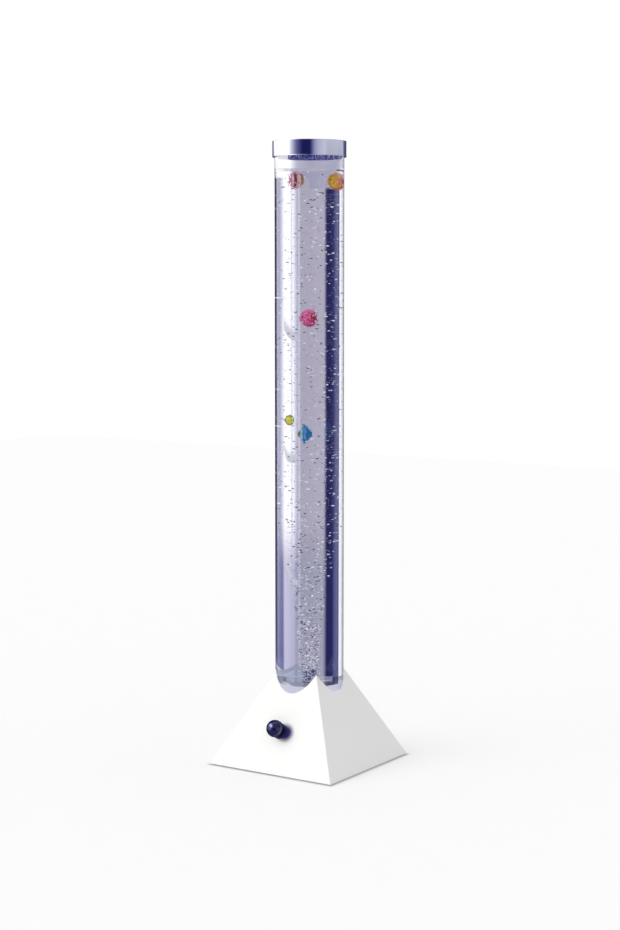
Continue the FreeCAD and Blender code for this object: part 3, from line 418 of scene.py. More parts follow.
finishes = {
    "white_shell": (shellPaint, {
        # navy and the next entries draw the painted shadow of the push ball: its centre, and where its fading
        # starts and ends
        "colour": ink(241, 241, 239), "navy": ink(52, 46, 118),
        "spray": middleOf("button_collar") + Vector((9.6 * mm, 0, -2.5 * mm)), "sprayCore": 7 * mm,
        "sprayEnd": 17 * mm, "foot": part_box("base_shell")[1].x, "rim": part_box("base_shell")[0].z,
        # glow and strength are the colour and brightness of the painted light on the bore's wall
        "lean": -pressAxis.z / pressAxis.y, "glow": ink(176, 182, 196), "strength": 0.6,
    }),
    "white_inner": (mouldedPlastic, {
        "colour": ink(226, 226, 222), "cloud": 9.0, "grain": 700.0, "mottle": 0.02, "rough": 0.42,
        "rubbed": 0.1, "relief": 0.12,
    }),
    "black_plastic": (mouldedPlastic, {
        "colour": ink(30, 31, 35), "cloud": 20.0, "grain": 1300.0, "mottle": 0.15, "rough": 0.45,
        "rubbed": 0.15, "relief": 0.25,
    }),
    "grey_plastic": (mouldedPlastic, {
        "colour": ink(126, 128, 134), "cloud": 16.0, "grain": 1100.0, "mottle": 0.06, "rough": 0.42,
        "rubbed": 0.12, "relief": 0.2,
    }),
    "navy_gloss": (pearlPaint, {
        "colour": ink(76, 76, 104), "edge": ink(60, 60, 96), "flakes": 1500.0,
        "flake": ink(150, 150, 190), "drift": 330.0,
    }),
    "navy_satin": (mouldedPlastic, {
        "colour": ink(31, 33, 80), "cloud": 30.0, "grain": 1200.0, "mottle": 0.1, "rough": 0.4,
        "rubbed": 0.1, "relief": 0.2,
    }),
    "navy_foam": (mattFoam, {
        "colour": ink(50, 50, 112), "drops": ink(140, 138, 186), "dropSize": 320.0,
        "across": (0.833, 0.553, 0.0), "along": (-0.553, 0.833, 0.0),
        # the painted light on the plug: a point far to the camera's right, the distance past which the plug is
        # painted pale, and that pale colour
        "wornFrom": middleOf("cap_plug") + Vector((333 * mm, 221 * mm, 0)), "worn": 430 * mm,
        "bleached": ink(226, 226, 234), "lit": 0.75,
    }),
    "dark_rubber": (softRubber, {"colour": ink(34, 34, 37), "bloom": ink(96, 96, 98)}),
    "grey_rubber": (softRubber, {"colour": ink(120, 121, 126), "bloom": ink(168, 168, 170)}),
    "bright_chrome": (drawnMetal, {
        "colour": ink(236, 237, 245), "across": 1.0, "along": 30.0, "grain": 40.0, "spread": 0.05,
        "rough": 0.07, "relief": 0.02,
    }),
    "steel": (drawnMetal, {
        "colour": ink(176, 178, 184), "across": 1.0, "along": 8.0, "grain": 500.0, "spread": 0.15,
        "rough": 0.24, "relief": 0.3,
    }),
    "clear_acrylic": (clearPlastic, {
        "colour": (0.985, 0.985, 0.995, 1.0), "lines": 160.0, "relief": 0.05, "haze": 0.03, "bend": 1.49,
    }),
    "lit_disc": (clearPlastic, {
        "colour": (0.985, 0.985, 0.995, 1.0), "lines": 160.0, "relief": 0.03, "haze": 0.1, "bend": 1.49,
        # the edge gives off a painted glow of this colour
        "rim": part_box("tube_floor")[1].x - 0.1 * mm, "edge": ink(214, 214, 230),
    }),
    "clear_hose": (clearPlastic, {
        "colour": (0.86, 0.9, 0.92, 1.0), "lines": 500.0, "relief": 0.2, "haze": 0.4, "bend": 1.42,
    }),
    "laminations": (stackedSteel, {"colour": ink(150, 152, 160), "rust": ink(122, 78, 48)}),
    "copper": (woundWire, {"colour": ink(190, 98, 52)}),
    "board_white": (wovenBoard, {"colour": ink(232, 233, 230), "track": 0.93}),
    "board_green": (wovenBoard, {"colour": ink(24, 92, 58), "track": 1.5}),
    "lamp_lens": (lampLens, {
        "colour": ink(238, 236, 214), "chips": ink(250, 226, 120), "light": ink(196, 196, 255),
        "strength": 4.0,
    }),
    "stone": (porousStone, {"colour": ink(206, 206, 228), "pore": ink(60, 60, 112), "lit": 0.45}),
}

paints = {slot: make(slot, look) for slot, (make, look) in finishes.items()}
print("finishes:", len(paints))


# meshes
def addObject(name, data):
    made = bpy.data.objects.new(name, data)
    bpy.context.scene.collection.objects.link(made)
    return made


def addMesh(name, vertices, faces, smooth=True):
    mesh = bpy.data.meshes.new(name)
    mesh.from_pydata([tuple(v) for v in vertices], [], faces)
    work = bmesh.new()
    work.from_mesh(mesh)
    bmesh.ops.remove_doubles(work, verts=work.verts, dist=1e-7)
    bmesh.ops.recalc_face_normals(work, faces=work.faces)
    work.to_mesh(mesh)
    work.free()
    if smooth:
        mesh.shade_smooth()
    return addObject(name, mesh)


def softened(outline, rounds, steps=5):
    # an outline of (radius, height) whose corners named in rounds are turned with that radius;
    # one more point on each side of a corner keeps the shading of the long faces true
    points = []
    count = len(outline)
    for index, corner in enumerate(outline):
        radius = rounds.get(index, 0.0)
        if not radius:
            points.append(Vector(corner))
            continue
        here = Vector(corner)
        back = (Vector(outline[index - 1]) - here).normalized()
        ahead = (Vector(outline[(index + 1) % count]) - here).normalized()
        half = back.angle(ahead) / 2
        reach = radius / math.tan(half)
        centre = here + (back + ahead).normalized() * radius / math.sin(half)
        first = here + back * reach - centre
        last = here + ahead * reach - centre
        sweep = first.angle_signed(last)
        points.append(here + back * reach * 1.3)
        for step in range(steps + 1):
            arm = first.copy()
            arm.rotate(Matrix.Rotation(-sweep * step / steps, 2))
            points.append(centre + arm)
        points.append(here + ahead * reach * 1.3)
    return points


def turnOnLathe(name, outline, around, stand=Matrix.Identity(4)):
    # a closed outline turned about Z; a point on the axis closes to a pole
    vertices = []
    for step in range(around):
        turn = tau * step / around
        for radius, height in outline:
            vertices.append(stand @ Vector((radius * math.cos(turn), radius * math.sin(turn), height)))
    count = len(outline)
    faces = []
    for step in range(around):
        near = step * count
        far = (step + 1) % around * count
        for index in range(count):
            after = (index + 1) % count
            if outline[index][0] < 1e-9 and outline[after][0] < 1e-9:
                continue
            faces.append((near + index, near + after, far + after, far + index))
    return addMesh(name, vertices, faces)


def sharpen(piece, degrees):
    # edges that turn more than this stay crisp
    work = bmesh.new()
    work.from_mesh(piece.data)
    for edge in work.edges:
        edge.smooth = len(edge.link_faces) == 2 and edge.calc_face_angle() < math.radians(degrees)
    work.to_mesh(piece.data)
    work.free()


def dress(piece, body, slot, *nodes, paint=None):
    piece.data.materials.clear()
    piece.data.materials.append(paint or paints[slot])
    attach(piece, body)
    if nodes:
        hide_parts(*nodes)
    return piece


# camera, light and floor
viewSet = {
    "turn": 33.55,            # degrees round the lamp from the face with the push ball
    "distance": 2719.2 * mm,
    "height": 718.2 * mm,
    "pitch": 5.906,
    "yaw": -0.018,
    "lens": 72.75,
}


def setCamera(look):
    turn = math.radians(look["turn"])
    camera = addObject("camera", bpy.data.cameras.new("camera"))
    camera.data.lens = look["lens"]
    camera.data.sensor_width = 36.0
    camera.data.clip_end = 60.0
    distance = look["distance"]
    camera.location = (distance * math.sin(turn), -distance * math.cos(turn), look["height"])
    camera.rotation_euler = (math.radians(90 - look["pitch"]), 0, turn + math.radians(look["yaw"]))
    bpy.context.scene.camera = camera


nearWhite = ink(255, 255, 255)
wallWhite = (1.25, 1.27, 1.3, 1.0)
dim = ink(50, 49, 72)
lavender = ink(173, 168, 182)
lowLavender = ink(157, 157, 173)
paleLavender = ink(206, 206, 222)
deepLavender = ink(158, 158, 178)
slate = ink(96, 98, 140)
navy = ink(6, 6, 74)
midnight = ink(22, 26, 84)
paleGrey = ink(196, 198, 204)

# what stands round the lamp, by degrees round it from the camera, to the right
studio = {
    # in metal and on the tube's skin
    "mirrored": [
        (-180, midnight), (-158, midnight), (-151, slate), (-145, wallWhite), (-67, wallWhite),
        (-58, ink(214, 216, 234)), (-47, ink(140, 142, 176)), (-39, ink(92, 94, 142)),
        (-29, ink(58, 60, 114)), (-21, midnight), (2, midnight), (8, ink(84, 88, 136)),
        (16, ink(150, 152, 188)), (26, ink(184, 184, 208)), (48, paleLavender), (96, ink(210, 212, 226)),
        (126, ink(196, 198, 214)), (136, slate), (145, ink(80, 80, 116)), (180, ink(60, 62, 104)),
    ],
    # through the water
    "middle": [
        (-180, lavender), (-168, lavender), (-167, deepLavender), (-165.6, navy), (-160, navy),
        (-156, ink(34, 36, 92)), (-152.5, ink(84, 86, 130)), (-148, slate), (-144.5, midnight),
        (-142.5, nearWhite), (-132, nearWhite), (-122, paleLavender), (-84, lavender), (-76, dim),
        (108, dim), (113, deepLavender), (118, ink(50, 50, 80)), (128, ink(50, 50, 80)),
        (131, ink(146, 146, 172)), (144.5, ink(150, 150, 176)), (150, paleLavender), (154.5, nearWhite),
        (163.5, nearWhite), (164.8, paleLavender), (165.9, nearWhite), (168.6, paleLavender),
        (170.4, lavender), (171.6, paleLavender), (172.8, lavender), (180, lavender),
    ],
    # through the water, low down
    "low": [
        (-180, lowLavender), (-168, lowLavender), (-166.5, ink(96, 94, 118)), (-165.6, ink(90, 90, 124)),
        (-164.6, navy), (-157, navy), (-154.5, ink(70, 74, 126)), (-148, slate), (-144.5, midnight),
        (-142.5, nearWhite), (-134, nearWhite), (-124, paleLavender), (-84, lavender), (-76, dim),
        (108, dim), (113, ink(110, 110, 136)), (119, ink(70, 70, 108)), (130, ink(84, 86, 130)),
        (150.4, ink(76, 78, 136)), (153.5, ink(184, 182, 210)), (157, ink(190, 188, 208)),
        (159, ink(182, 182, 204)), (161, ink(190, 190, 212)), (163.5, ink(176, 176, 198)),
        (166, ink(184, 184, 206)), (168.4, lowLavender), (171, ink(164, 164, 186)),
        (171.8, ink(190, 190, 212)), (172.8, lowLavender), (180, lowLavender),
    ],
    # through the water, close under its surface
    "shore": [
        (-180, deepLavender), (-166, deepLavender), (-152, lavender), (-142, nearWhite), (-84, lavender),
        (-76, dim), (108, dim), (118, nearWhite), (162, nearWhite), (167, deepLavender),
        (180, deepLavender),
    ],
    # through the empty end of the tube
    "high": [
        (-180, deepLavender), (-178.8, deepLavender), (-177.4, nearWhite), (-150, nearWhite), (-110, dim),
        (110, dim), (160, paleLavender), (170, lavender), (176, deepLavender), (180, deepLavender),
    ],
    # degrees above the camera's level where one set gives way to the next
    "shoreLine": (2.44, 2.52),
    "shoreStep": 0.32,        # so much higher on the right, which is seen on the left through the water
    "waterline": (3.02, 3.1),
    "highEnd": (4.2, 5.0),
    "lowEnd": (-9.2, -7.4),
    # lower end, height, bend and thickness of each grey curve
    "swooshes": [(-2.17, 0.37, 2, 0.5), (-5.86, 0.42, 6, 0.42), (-9.62, 0.9, 2, 0.3)],
    "swooshStart": 154,
    "swooshLength": 17,
    # what the tube mirrors to either side below the cap, where in shares of the way round
    "tubeEdges": ink(50, 50, 84),
    "leftEdge": (0.02, 0.04, 0.112, 0.125),
    "rightEdge": (0.645, 0.655, 0.832, 0.838),
    "capLine": (3.2, 3.4),
    # above and below the band that upright metal mirrors
    "shade": ink(124, 126, 172),
    "shadeStart": (9, 14),
    "shadeEnd": (58, 70),
    # to the left, in reflections only
    "softbox": 5.0,
    "softboxRise": (14, 24, 46, 58),
    "softboxWay": (0.15, 0.22, 0.34, 0.4),
    "ceiling": (30, 45),      # past this, up or down, the water shows the ambient light
    "gain": 1.3,
    "ambient": 0.765,
    "key": 0.68,
    "keyTurn": -35.0,         # from the push ball's face, to the left
    "keyHeight": 42.0,
    "keyAngle": 40.0,
}


def setWorld(look):
    world = bpy.data.worlds.new("studio")
    world.use_nodes = True
    bpy.context.scene.world = world
    board = Board(world.node_tree)
    turn = math.radians(viewSet["turn"])
    way = board.node("ShaderNodeTexCoord", out="Generated")
    wayX, wayY, wayZ = board.parts(way)
    rightward = wayX * math.cos(turn) + wayY * math.sin(turn)
    toCamera = wayX * math.sin(turn) - wayY * math.cos(turn)
    share = rightward.sum("ARCTAN2", rightward, toCamera) / tau + 0.5
    rise = wayZ.sum("ARCSINE", wayZ) * math.degrees(1)

    def ramp(name):
        stops = [((degrees + 180) / 360, colour) for degrees, colour in look[name]]
        return board.node("ShaderNodeValToRGB", {"stops": stops}, [share])

    def brighter(colour, gain):
        return board.node("ShaderNodeVectorMath", {"operation": "SCALE"}, {0: colour, "Scale": gain})

    through = board.blend(rise.over(*look["lowEnd"]), ramp("low"), ramp("middle"))
    across = (share * 360 - 180 - look["swooshStart"]) / look["swooshLength"]
    for low, height, bend, thick in look["swooshes"]:
        above = rise - (1 - across) ** bend * height - low
        mask = above.between(0, 0.05, thick * 0.4, thick) * across.between(0, 0.03, 0.9, 1)
        through = board.blend(mask, through, paleGrey)
    shore = (rise - share.over(0.49, 0.51) * look["shoreStep"]).over(*look["shoreLine"])
    above = board.blend(rise.over(*look["waterline"]), ramp("shore"), ramp("high"))
    through = board.blend(shore * (1 - rise.over(*look["highEnd"])), through, above)
    isCamera, isGlossy, isPassing = board.rays("Camera", "Glossy", "Transmission")
    ambient = scaled(nearWhite, look["ambient"])
    edges = share.between(*look["leftEdge"]) + share.between(*look["rightEdge"]) * 0.5
    edges = edges * (1 - rise.over(*look["capLine"]))
    mirrored = board.blend(edges, ramp("mirrored"), look["tubeEdges"])
    aside = abs(rise).over(*look["shadeStart"]) * (1 - rise.over(*look["shadeEnd"]))
    mirrored = board.blend(aside, mirrored, look["shade"])
    colour = board.blend(isGlossy, ambient, mirrored)
    colour = board.blend(isPassing, colour, brighter(through, look["gain"]))
    colour = board.blend(abs(rise).over(*look["ceiling"]) * isPassing, colour, ambient)
    box = rise.between(*look["softboxRise"]) * share.between(*look["softboxWay"])
    box = box * isGlossy * (1 - isPassing)
    colour = board.blend(box, colour, brighter(nearWhite[:3], look["softbox"]))
    colour = board.blend(isCamera, colour, nearWhite)
    backdrop = board.node("ShaderNodeBackground", {}, {"Color": colour, "Strength": 1.0})
    board.node("ShaderNodeOutputWorld", {}, {"Surface": backdrop})


def setKey(look):
    lamp = bpy.data.lights.new("key", "SUN")
    lamp.energy = look["key"]
    lamp.angle = math.radians(look["keyAngle"])
    key = addObject("key", lamp)
    turn, rise = math.radians(look["keyTurn"]), math.radians(look["keyHeight"])
    towards = Vector((math.sin(turn) * math.cos(rise), -math.cos(turn) * math.cos(rise), math.sin(rise)))
    key.rotation_euler = towards.to_track_quat("Z", "Y").to_euler()
    key.visible_glossy = False
    key.visible_transmission = False


def setFloor():
    # it takes the lamp's shadow, and a painted shadow darkens it close round the base; glass and metal look past
    # it at the studio
    half = 4.0
    drop = -0.3 * mm
    corners = [(-half, -half, drop), (half, -half, drop), (half, half, drop), (-half, half, drop)]
    floor = addMesh("floor", corners, [(0, 1, 2, 3)], smooth=False)
    board = startPaint("pale_floor")
    place = board.place()
    sideX, sideY, sideZ = board.parts(place)
    away = abs(sideX).larger(abs(sideY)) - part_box("base_shell")[1].x
    paper = board.tint(board.noise(place, 30.0, 3.0), nearWhite, 0.93, 0.96)
    # painted shadow: grey close round the base's foot, fading out a few millimetres beyond it
    paintedContactShadow = board.blend(away.over(-4 * mm, 8 * mm), ink(150, 150, 150), paper)
    matt = principled(board, Base_Color=paintedContactShadow, Roughness=0.9, Specular_IOR_Level=0.0,
                      Emission_Color=nearWhite, Emission_Strength=0.12)
    isGlossy, isPassing = board.rays("Glossy", "Transmission")
    floor.data.materials.append(closePaint(board, board.letThrough(isGlossy.larger(isPassing), matt)))


bpy.context.scene.view_settings.view_transform = "Standard"
setCamera(viewSet)
setWorld(studio)
setKey(studio)
setFloor()
print("stage: camera, studio, key light and floor")


# pieces kept from the frame
slotOfNode = {part["node"]: part["material_slot"] for part in frame["record"]["subparts"]}
for nodeName, node in frame["nodes"].items():
    paint = paints.get(slotOfNode[nodeName])
    if paint is None:
        continue
    node.data.materials.clear()
    node.data.materials.append(paint)
# these two look unlike the rest of their slots
frame["nodes"]["cap_plug"].data.materials[0] = paints["navy_foam"]
frame["nodes"]["tube_floor"].data.materials[0] = paints["lit_disc"]
print("kept nodes painted")

# tube, water and what is in it
tubeLow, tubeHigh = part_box("tube")
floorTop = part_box("tube_floor")[1].z
tubeRadius = tubeHigh.x
tubeSet = {
    "around": 256,
    "wall": 3 * mm,
    "edge": 0.5 * mm,
    "waterLine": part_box("fish_striped")[1].z + 0.5 * mm,
    "overlap": 0.12 * mm,     # the water reaches this far into the wall, so no gap shows
    "meniscus": 0.3 * mm,
    "climbReach": 2.5,        # how far it reaches inwards, in heights of it
    "climbSteps": 6,
}
tubeBore = tubeRadius - tubeSet["wall"]


def makeTube(look):
    low, high = tubeLow.z, tubeHigh.z
    outline = [(tubeBore, low), (tubeRadius, low), (tubeRadius, high), (tubeBore, high)]
    points = softened(outline, {corner: look["edge"] for corner in range(4)})
    tube = turnOnLathe("tubeWall", points, look["around"])
    dress(tube, "lamp", "clear_acrylic", "tube")


def makeWater(look):
    reach = tubeBore + look["overlap"]
    low, high = floorTop - look["overlap"], look["waterLine"]
    climb = look["meniscus"]
    points = [Vector((0, low)), Vector((reach, low)), Vector((reach, high + climb))]
    for step in range(look["climbSteps"] + 1):
        share = step / look["climbSteps"]
        inward = climb * look["climbReach"] * share
        points.append(Vector((tubeBore - inward, high + climb * (1 - share) ** 3)))
    points.append(Vector((tubeBore / 2, high)))
    points.append(Vector((0, high)))
    water = turnOnLathe("water", points, look["around"])
    sharpen(water, 60)
    paint = stillWater("clear_water", {"ripple": 60.0, "relief": 0.02, "colour": (0.5, 0.5, 0.7, 1.0),
                                       "density": 2.0, "top": look["waterLine"]})
    dress(water, "lamp", "clear_acrylic", paint=paint)


makeTube(tubeSet)
makeWater(tubeSet)
print("tube and water")

bubbleSet = {
    "Count": 3300,
    "Spread": tubeBore - 2.5 * mm,
    "Nozzle": 11.0 * mm,
    "Flare": 0.6,             # how fast the plume widens with the square of its height, per metre
    "Low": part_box("air_stone")[1].z,
    "High": tubeSet["waterLine"] - 2 * mm,
    "Small": 0.4 * mm,
    "Large": 1.75 * mm,
    "Flatness": 0.5,
    "Crowding": 1.15,        # above 1 there are more of them low down
    "Seed": 7,
}
clusterSet = {
    "Count": 420,
    "Spread": 17.0 * mm,
    "Nozzle": 12.0 * mm,
    "Flare": 0.5,
    "Low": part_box("air_stone")[0].z + 3 * mm,
    "High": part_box("air_stone")[1].z + 70 * mm,
    "Small": 0.4 * mm,
    "Large": 1.15 * mm,
    "Flatness": 0.7,
    "Crowding": 1.5,
    "Seed": 19,
}


def openGroup(name, look):
    # an empty modifier tree with one named input for each entry
    tree = bpy.data.node_groups.new(name, "GeometryNodeTree")
    tree.interface.new_socket("Geometry", in_out="OUTPUT", socket_type="NodeSocketGeometry")
    for label, value in look.items():
        kind = "NodeSocketInt" if isinstance(value, int) else "NodeSocketFloat"
        tree.interface.new_socket(label, in_out="INPUT", socket_type=kind)
    board = Board(tree)
    source = tree.nodes.new("NodeGroupInput")
    given = {label: Wire(board, source.outputs[label]) for label in look}
    return tree, board, given


def closeGroup(board, shapes, material):
    whole = board.node("GeometryNodeRealizeInstances", {}, [shapes])
    smooth = board.node("GeometryNodeSetShadeSmooth", {}, [whole])
    painted = board.node("GeometryNodeSetMaterial", {}, {"Geometry": smooth, "Material": material})
    board.node("NodeGroupOutput", {}, {0: painted})


def bakeGroup(name, tree, look):
    # runs the tree on an empty object and keeps the result as a plain mesh
    carrier = addObject(name + "Carrier", bpy.data.meshes.new(name + "Carrier"))
    modifier = carrier.modifiers.new(name, "NODES")
    modifier.node_group = tree
    for item in tree.interface.items_tree:
        if item.in_out == "INPUT" and item.name in look:
            modifier[item.identifier] = look[item.name]
    graph = bpy.context.evaluated_depsgraph_get()
    mesh = bpy.data.meshes.new_from_object(carrier.evaluated_get(graph))
    bpy.data.objects.remove(carrier)
    return addObject(name, mesh)


def random(board, seed, offset, low=0.0, high=1.0):
    return board.node("FunctionNodeRandomValue", {"data_type": "FLOAT"},
                      {2: low, 3: high, "Seed": seed + offset}, out=1)


def makeBubbles(name, look, paint):
    # a plume that leaves the stone narrow and spreads to the wall; each bubble has a tone of its own
    tree, board, given = openGroup(name, look)
    seed = given["Seed"]
    turn = random(board, seed, 0) * tau
    reach = random(board, seed, 1).sum("SQRT", random(board, seed, 1))
    rise = (given["High"] - given["Low"]) * random(board, seed, 2) ** given["Crowding"]
    spread = rise.sum("MINIMUM", given["Nozzle"] + rise ** 2.0 * given["Flare"], given["Spread"])
    radius = spread * reach
    height = given["Low"] + rise
    spot = board.node("ShaderNodeCombineXYZ", {}, [radius * turn.sum("COSINE", turn),
                                                  radius * turn.sum("SINE", turn), height])
    points = board.node("GeometryNodePoints", {}, {"Count": given["Count"], "Position": spot})
    size = given["Small"] + (given["Large"] - given["Small"]) * random(board, seed, 3) ** 2.0
    scale = board.node("ShaderNodeCombineXYZ", {}, [size, size, size * given["Flatness"]])
    ball = board.node("GeometryNodeMeshUVSphere", {}, {"Segments": 8, "Rings": 4, "Radius": 1.0})
    shapes = board.node("GeometryNodeInstanceOnPoints", {},
                        {"Points": points, "Instance": ball, "Scale": scale})
    toned = board.node("GeometryNodeStoreNamedAttribute", {"data_type": "FLOAT", "domain": "INSTANCE"},
                       {"Geometry": shapes, "Name": "tone", "Value": random(board, seed, 4)})
    closeGroup(board, toned, paint)
    bubbles = bakeGroup(name, tree, look)
    dress(bubbles, "lamp", "clear_acrylic", paint=paint)


def bubblePaint():
    # some bubbles are painted dull and dark as the shade they show, and some glow white as painted glints, by
    # their tone
    board = startPaint("bubble_skin")
    film = board.noise(board.place(), 700.0, 2.0)
    glass = principled(board, Base_Color=(1.0, 1.0, 1.0, 1.0), Roughness=film * 0.02, IOR=1.45,
                       Transmission_Weight=1.0)
    tone = board.node("ShaderNodeAttribute", {"attribute_name": "tone"}, out="Fac")
    # painted glint: white light given off by some bubbles
    lit = board.node("ShaderNodeEmission", {}, {"Color": ink(240, 240, 252)})
    paintedDarkSpeck = principled(board, Base_Color=board.tint(film, ink(104, 102, 128), 0.7, 1.2),
                      Roughness=film * 0.1 + 0.3)
    skin = board.join((1 - tone.over(0.32, 0.36)) * 0.8, glass, paintedDarkSpeck)
    skin = board.join(tone.over(0.62, 0.85) * 0.9, skin, lit)
    shadow, = board.rays("Shadow")
    return closePaint(board, board.letThrough(shadow, skin))


bubbleSkin = bubblePaint()
makeBubbles("bubbles", bubbleSet, bubbleSkin)
makeBubbles("bubbleCluster", clusterSet, bubbleSkin)
print("bubbles")

# cap
capLow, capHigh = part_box("cap_shell")
capSet = {
    "around": 256,
    "wall": 2 * mm,
    "bead": 0.25 * mm,        # the lower rim stands this far out of the side
    "beadHeight": 0.9 * mm,
    "dish": 0.5 * mm,         # the top's middle lies this much lower than its rim
    # how round each corner is, from the bore's lower edge outwards and over the top
    "rounds": {0: 0.3 * mm, 1: 0.3 * mm, 2: 0.2 * mm, 3: 0.2 * mm, 4: 0.3 * mm, 5: 1.5 * mm, 6: 1.5 * mm,
               9: 0.6 * mm},
    "roundSteps": 4,
}


def makeCap(look):
    outside = capHigh.x
    side = outside - look["bead"]
    inside = outside - look["wall"]
    low, high, band = capLow.z, capHigh.z, look["beadHeight"]
    roof = high - look["wall"]
    outline = [(inside, low), (outside, low), (outside, low + band), (side, low + band + look["bead"]),
               (side, high), (outside - 3 * band, high), (outside - 5 * band, high - look["dish"]),
               (0, high - look["dish"]), (0, roof), (inside, roof)]
    cap = turnOnLathe("capShell", softened(outline, look["rounds"], look["roundSteps"]), look["around"])
    dress(cap, "cap", "bright_chrome", "cap_shell")


makeCap(capSet)
print("cap")

# push ball
ballLow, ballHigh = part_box("ball_button")
ballSet = {
    "around": 96,
    "radius": 12.5 * mm,
    "stem": 4 * mm,
    "length": 28 * mm,        # from the ball's centre to the stem's end
    "stemEdge": 0.5 * mm,
    "steps": 48,
}


def standOn(centre, axis):
    # Z of the piece looks out of the base's face
    return Matrix.Translation(centre) @ (-axis).to_track_quat("Z", "Y").to_matrix().to_4x4()


def makeBall(look):
    radius, stem = look["radius"], look["stem"]
    centre = Vector((0, ballLow.y + radius, ballHigh.z - radius))
    start = math.asin(stem / radius)
    end, edge = -look["length"], look["stemEdge"]
    points = [Vector((0, end)), Vector((stem - edge, end)), Vector((stem, end + edge))]
    for step in range(look["steps"] + 1):
        turn = start + (math.pi - start) * step / look["steps"]
        points.append(Vector((radius * math.sin(turn), -radius * math.cos(turn))))
    points[-1].x = 0
    ball = turnOnLathe("pushBall", points, look["around"], standOn(centre, pressAxis))
    sharpen(ball, 50)
    dress(ball, "button", "navy_gloss", "ball_button")


makeBall(ballSet)
print("push ball")

# fish
# bands run from mouth to tail, each with its place, red, green and blue
fishSet = {
    "fish_striped": {
        "body": "striped_fish", "slot": "fish_red_white", "length": 17 * mm, "thick": 5 * mm,
        "heading": 208, "bulge": 0.7, "notch": 0.3, "finSet": "round", "bow": -0.5,
        "bands": [
            (0.0, 250, 246, 240), (0.06, 200, 160, 120), (0.2, 186, 134, 84), (0.26, 250, 246, 240),
            (0.34, 250, 190, 180), (0.42, 248, 170, 180), (0.46, 120, 6, 36), (0.6, 150, 16, 54),
            (0.66, 250, 246, 240), (0.74, 240, 130, 160), (0.84, 226, 120, 150), (1.0, 120, 104, 124),
        ],
        "fins": ink(236, 150, 178), "crest": ink(240, 190, 206), "finShare": 0.6, "spots": ink(70, 16, 30),
        "spotSize": 8.0, "spotted": 0.08, "flecked": 0.2, "edged": 0.1,
    },
    "fish_yellow": {
        "body": "yellow_fish", "slot": "fish_yellow_red", "length": 21 * mm, "thick": 5.5 * mm,
        "heading": 50, "bulge": 0.68, "notch": 0.25, "finSet": "round", "bow": -0.2,
        "bands": [
            (0.0, 250, 240, 120), (0.12, 246, 206, 10), (0.4, 240, 184, 0), (0.6, 236, 150, 10),
            (0.7, 240, 150, 110), (0.76, 220, 90, 20), (0.88, 170, 30, 16), (1.0, 110, 6, 20),
        ],
        "fins": ink(206, 84, 10), "crest": ink(252, 240, 200), "finShare": 0.8, "spots": ink(48, 22, 8),
        "spotSize": 3.6, "spotted": 0.06, "flecked": 0.12, "edged": 0.5,
    },
    "fish_pink": {
        "body": "pink_fish", "slot": "fish_rose", "length": 25 * mm, "thick": 6 * mm, "heading": 33,
        "bulge": 0.58, "notch": 0.3, "finSet": "round", "bow": -0.3,
        "bands": [
            (0.0, 226, 150, 190), (0.15, 240, 110, 165), (0.4, 240, 76, 148), (0.55, 222, 60, 124),
            (0.7, 190, 30, 76), (0.85, 150, 24, 60), (1.0, 232, 170, 180),
        ],
        "fins": ink(214, 90, 150), "crest": ink(240, 190, 214), "finShare": 0.6, "spots": ink(110, 20, 70),
        "spotSize": 6.0, "spotted": 0.14, "flecked": 0.75, "edged": 0.2,
    },
    "fish_lemon": {
        "body": "lemon_fish", "slot": "fish_lime", "length": 13 * mm, "thick": 4.5 * mm, "heading": 24,
        "bulge": 0.46, "notch": 0.45, "finSet": "round", "bow": 0.0,
        "bands": [
            (0.0, 222, 228, 90), (0.2, 244, 240, 24), (0.5, 250, 240, 16), (0.8, 220, 220, 20),
            (1.0, 140, 150, 20),
        ],
        "fins": ink(122, 132, 16), "crest": ink(150, 160, 30), "finShare": 0.9, "spots": ink(84, 96, 10),
        "spotSize": 7.0, "spotted": 0.08, "flecked": 0.5, "edged": 0.9,
    },
    "fish_blue": {
        "body": "blue_fish", "slot": "fish_sky", "length": 14 * mm, "thick": 4.5 * mm, "heading": 32,
        "bulge": 0.44, "notch": 0.06, "finSet": "tall", "bow": -0.6,
        "bands": [
            (0.0, 150, 176, 120), (0.1, 90, 120, 50), (0.2, 200, 226, 230), (0.3, 150, 210, 236),
            (0.38, 40, 130, 196), (0.5, 120, 196, 240), (0.58, 30, 120, 190), (0.8, 40, 130, 200),
            (1.0, 24, 80, 140),
        ],
        "fins": ink(52, 150, 214), "crest": ink(70, 140, 200), "finShare": 0.5, "spots": ink(20, 80, 120),
        "spotSize": 8.0, "spotted": 0.03, "flecked": 0.25, "edged": 0.0,
    },
}
# the fish skins give off a painted glow of their own colour at this strength
fishGlow = 0.38

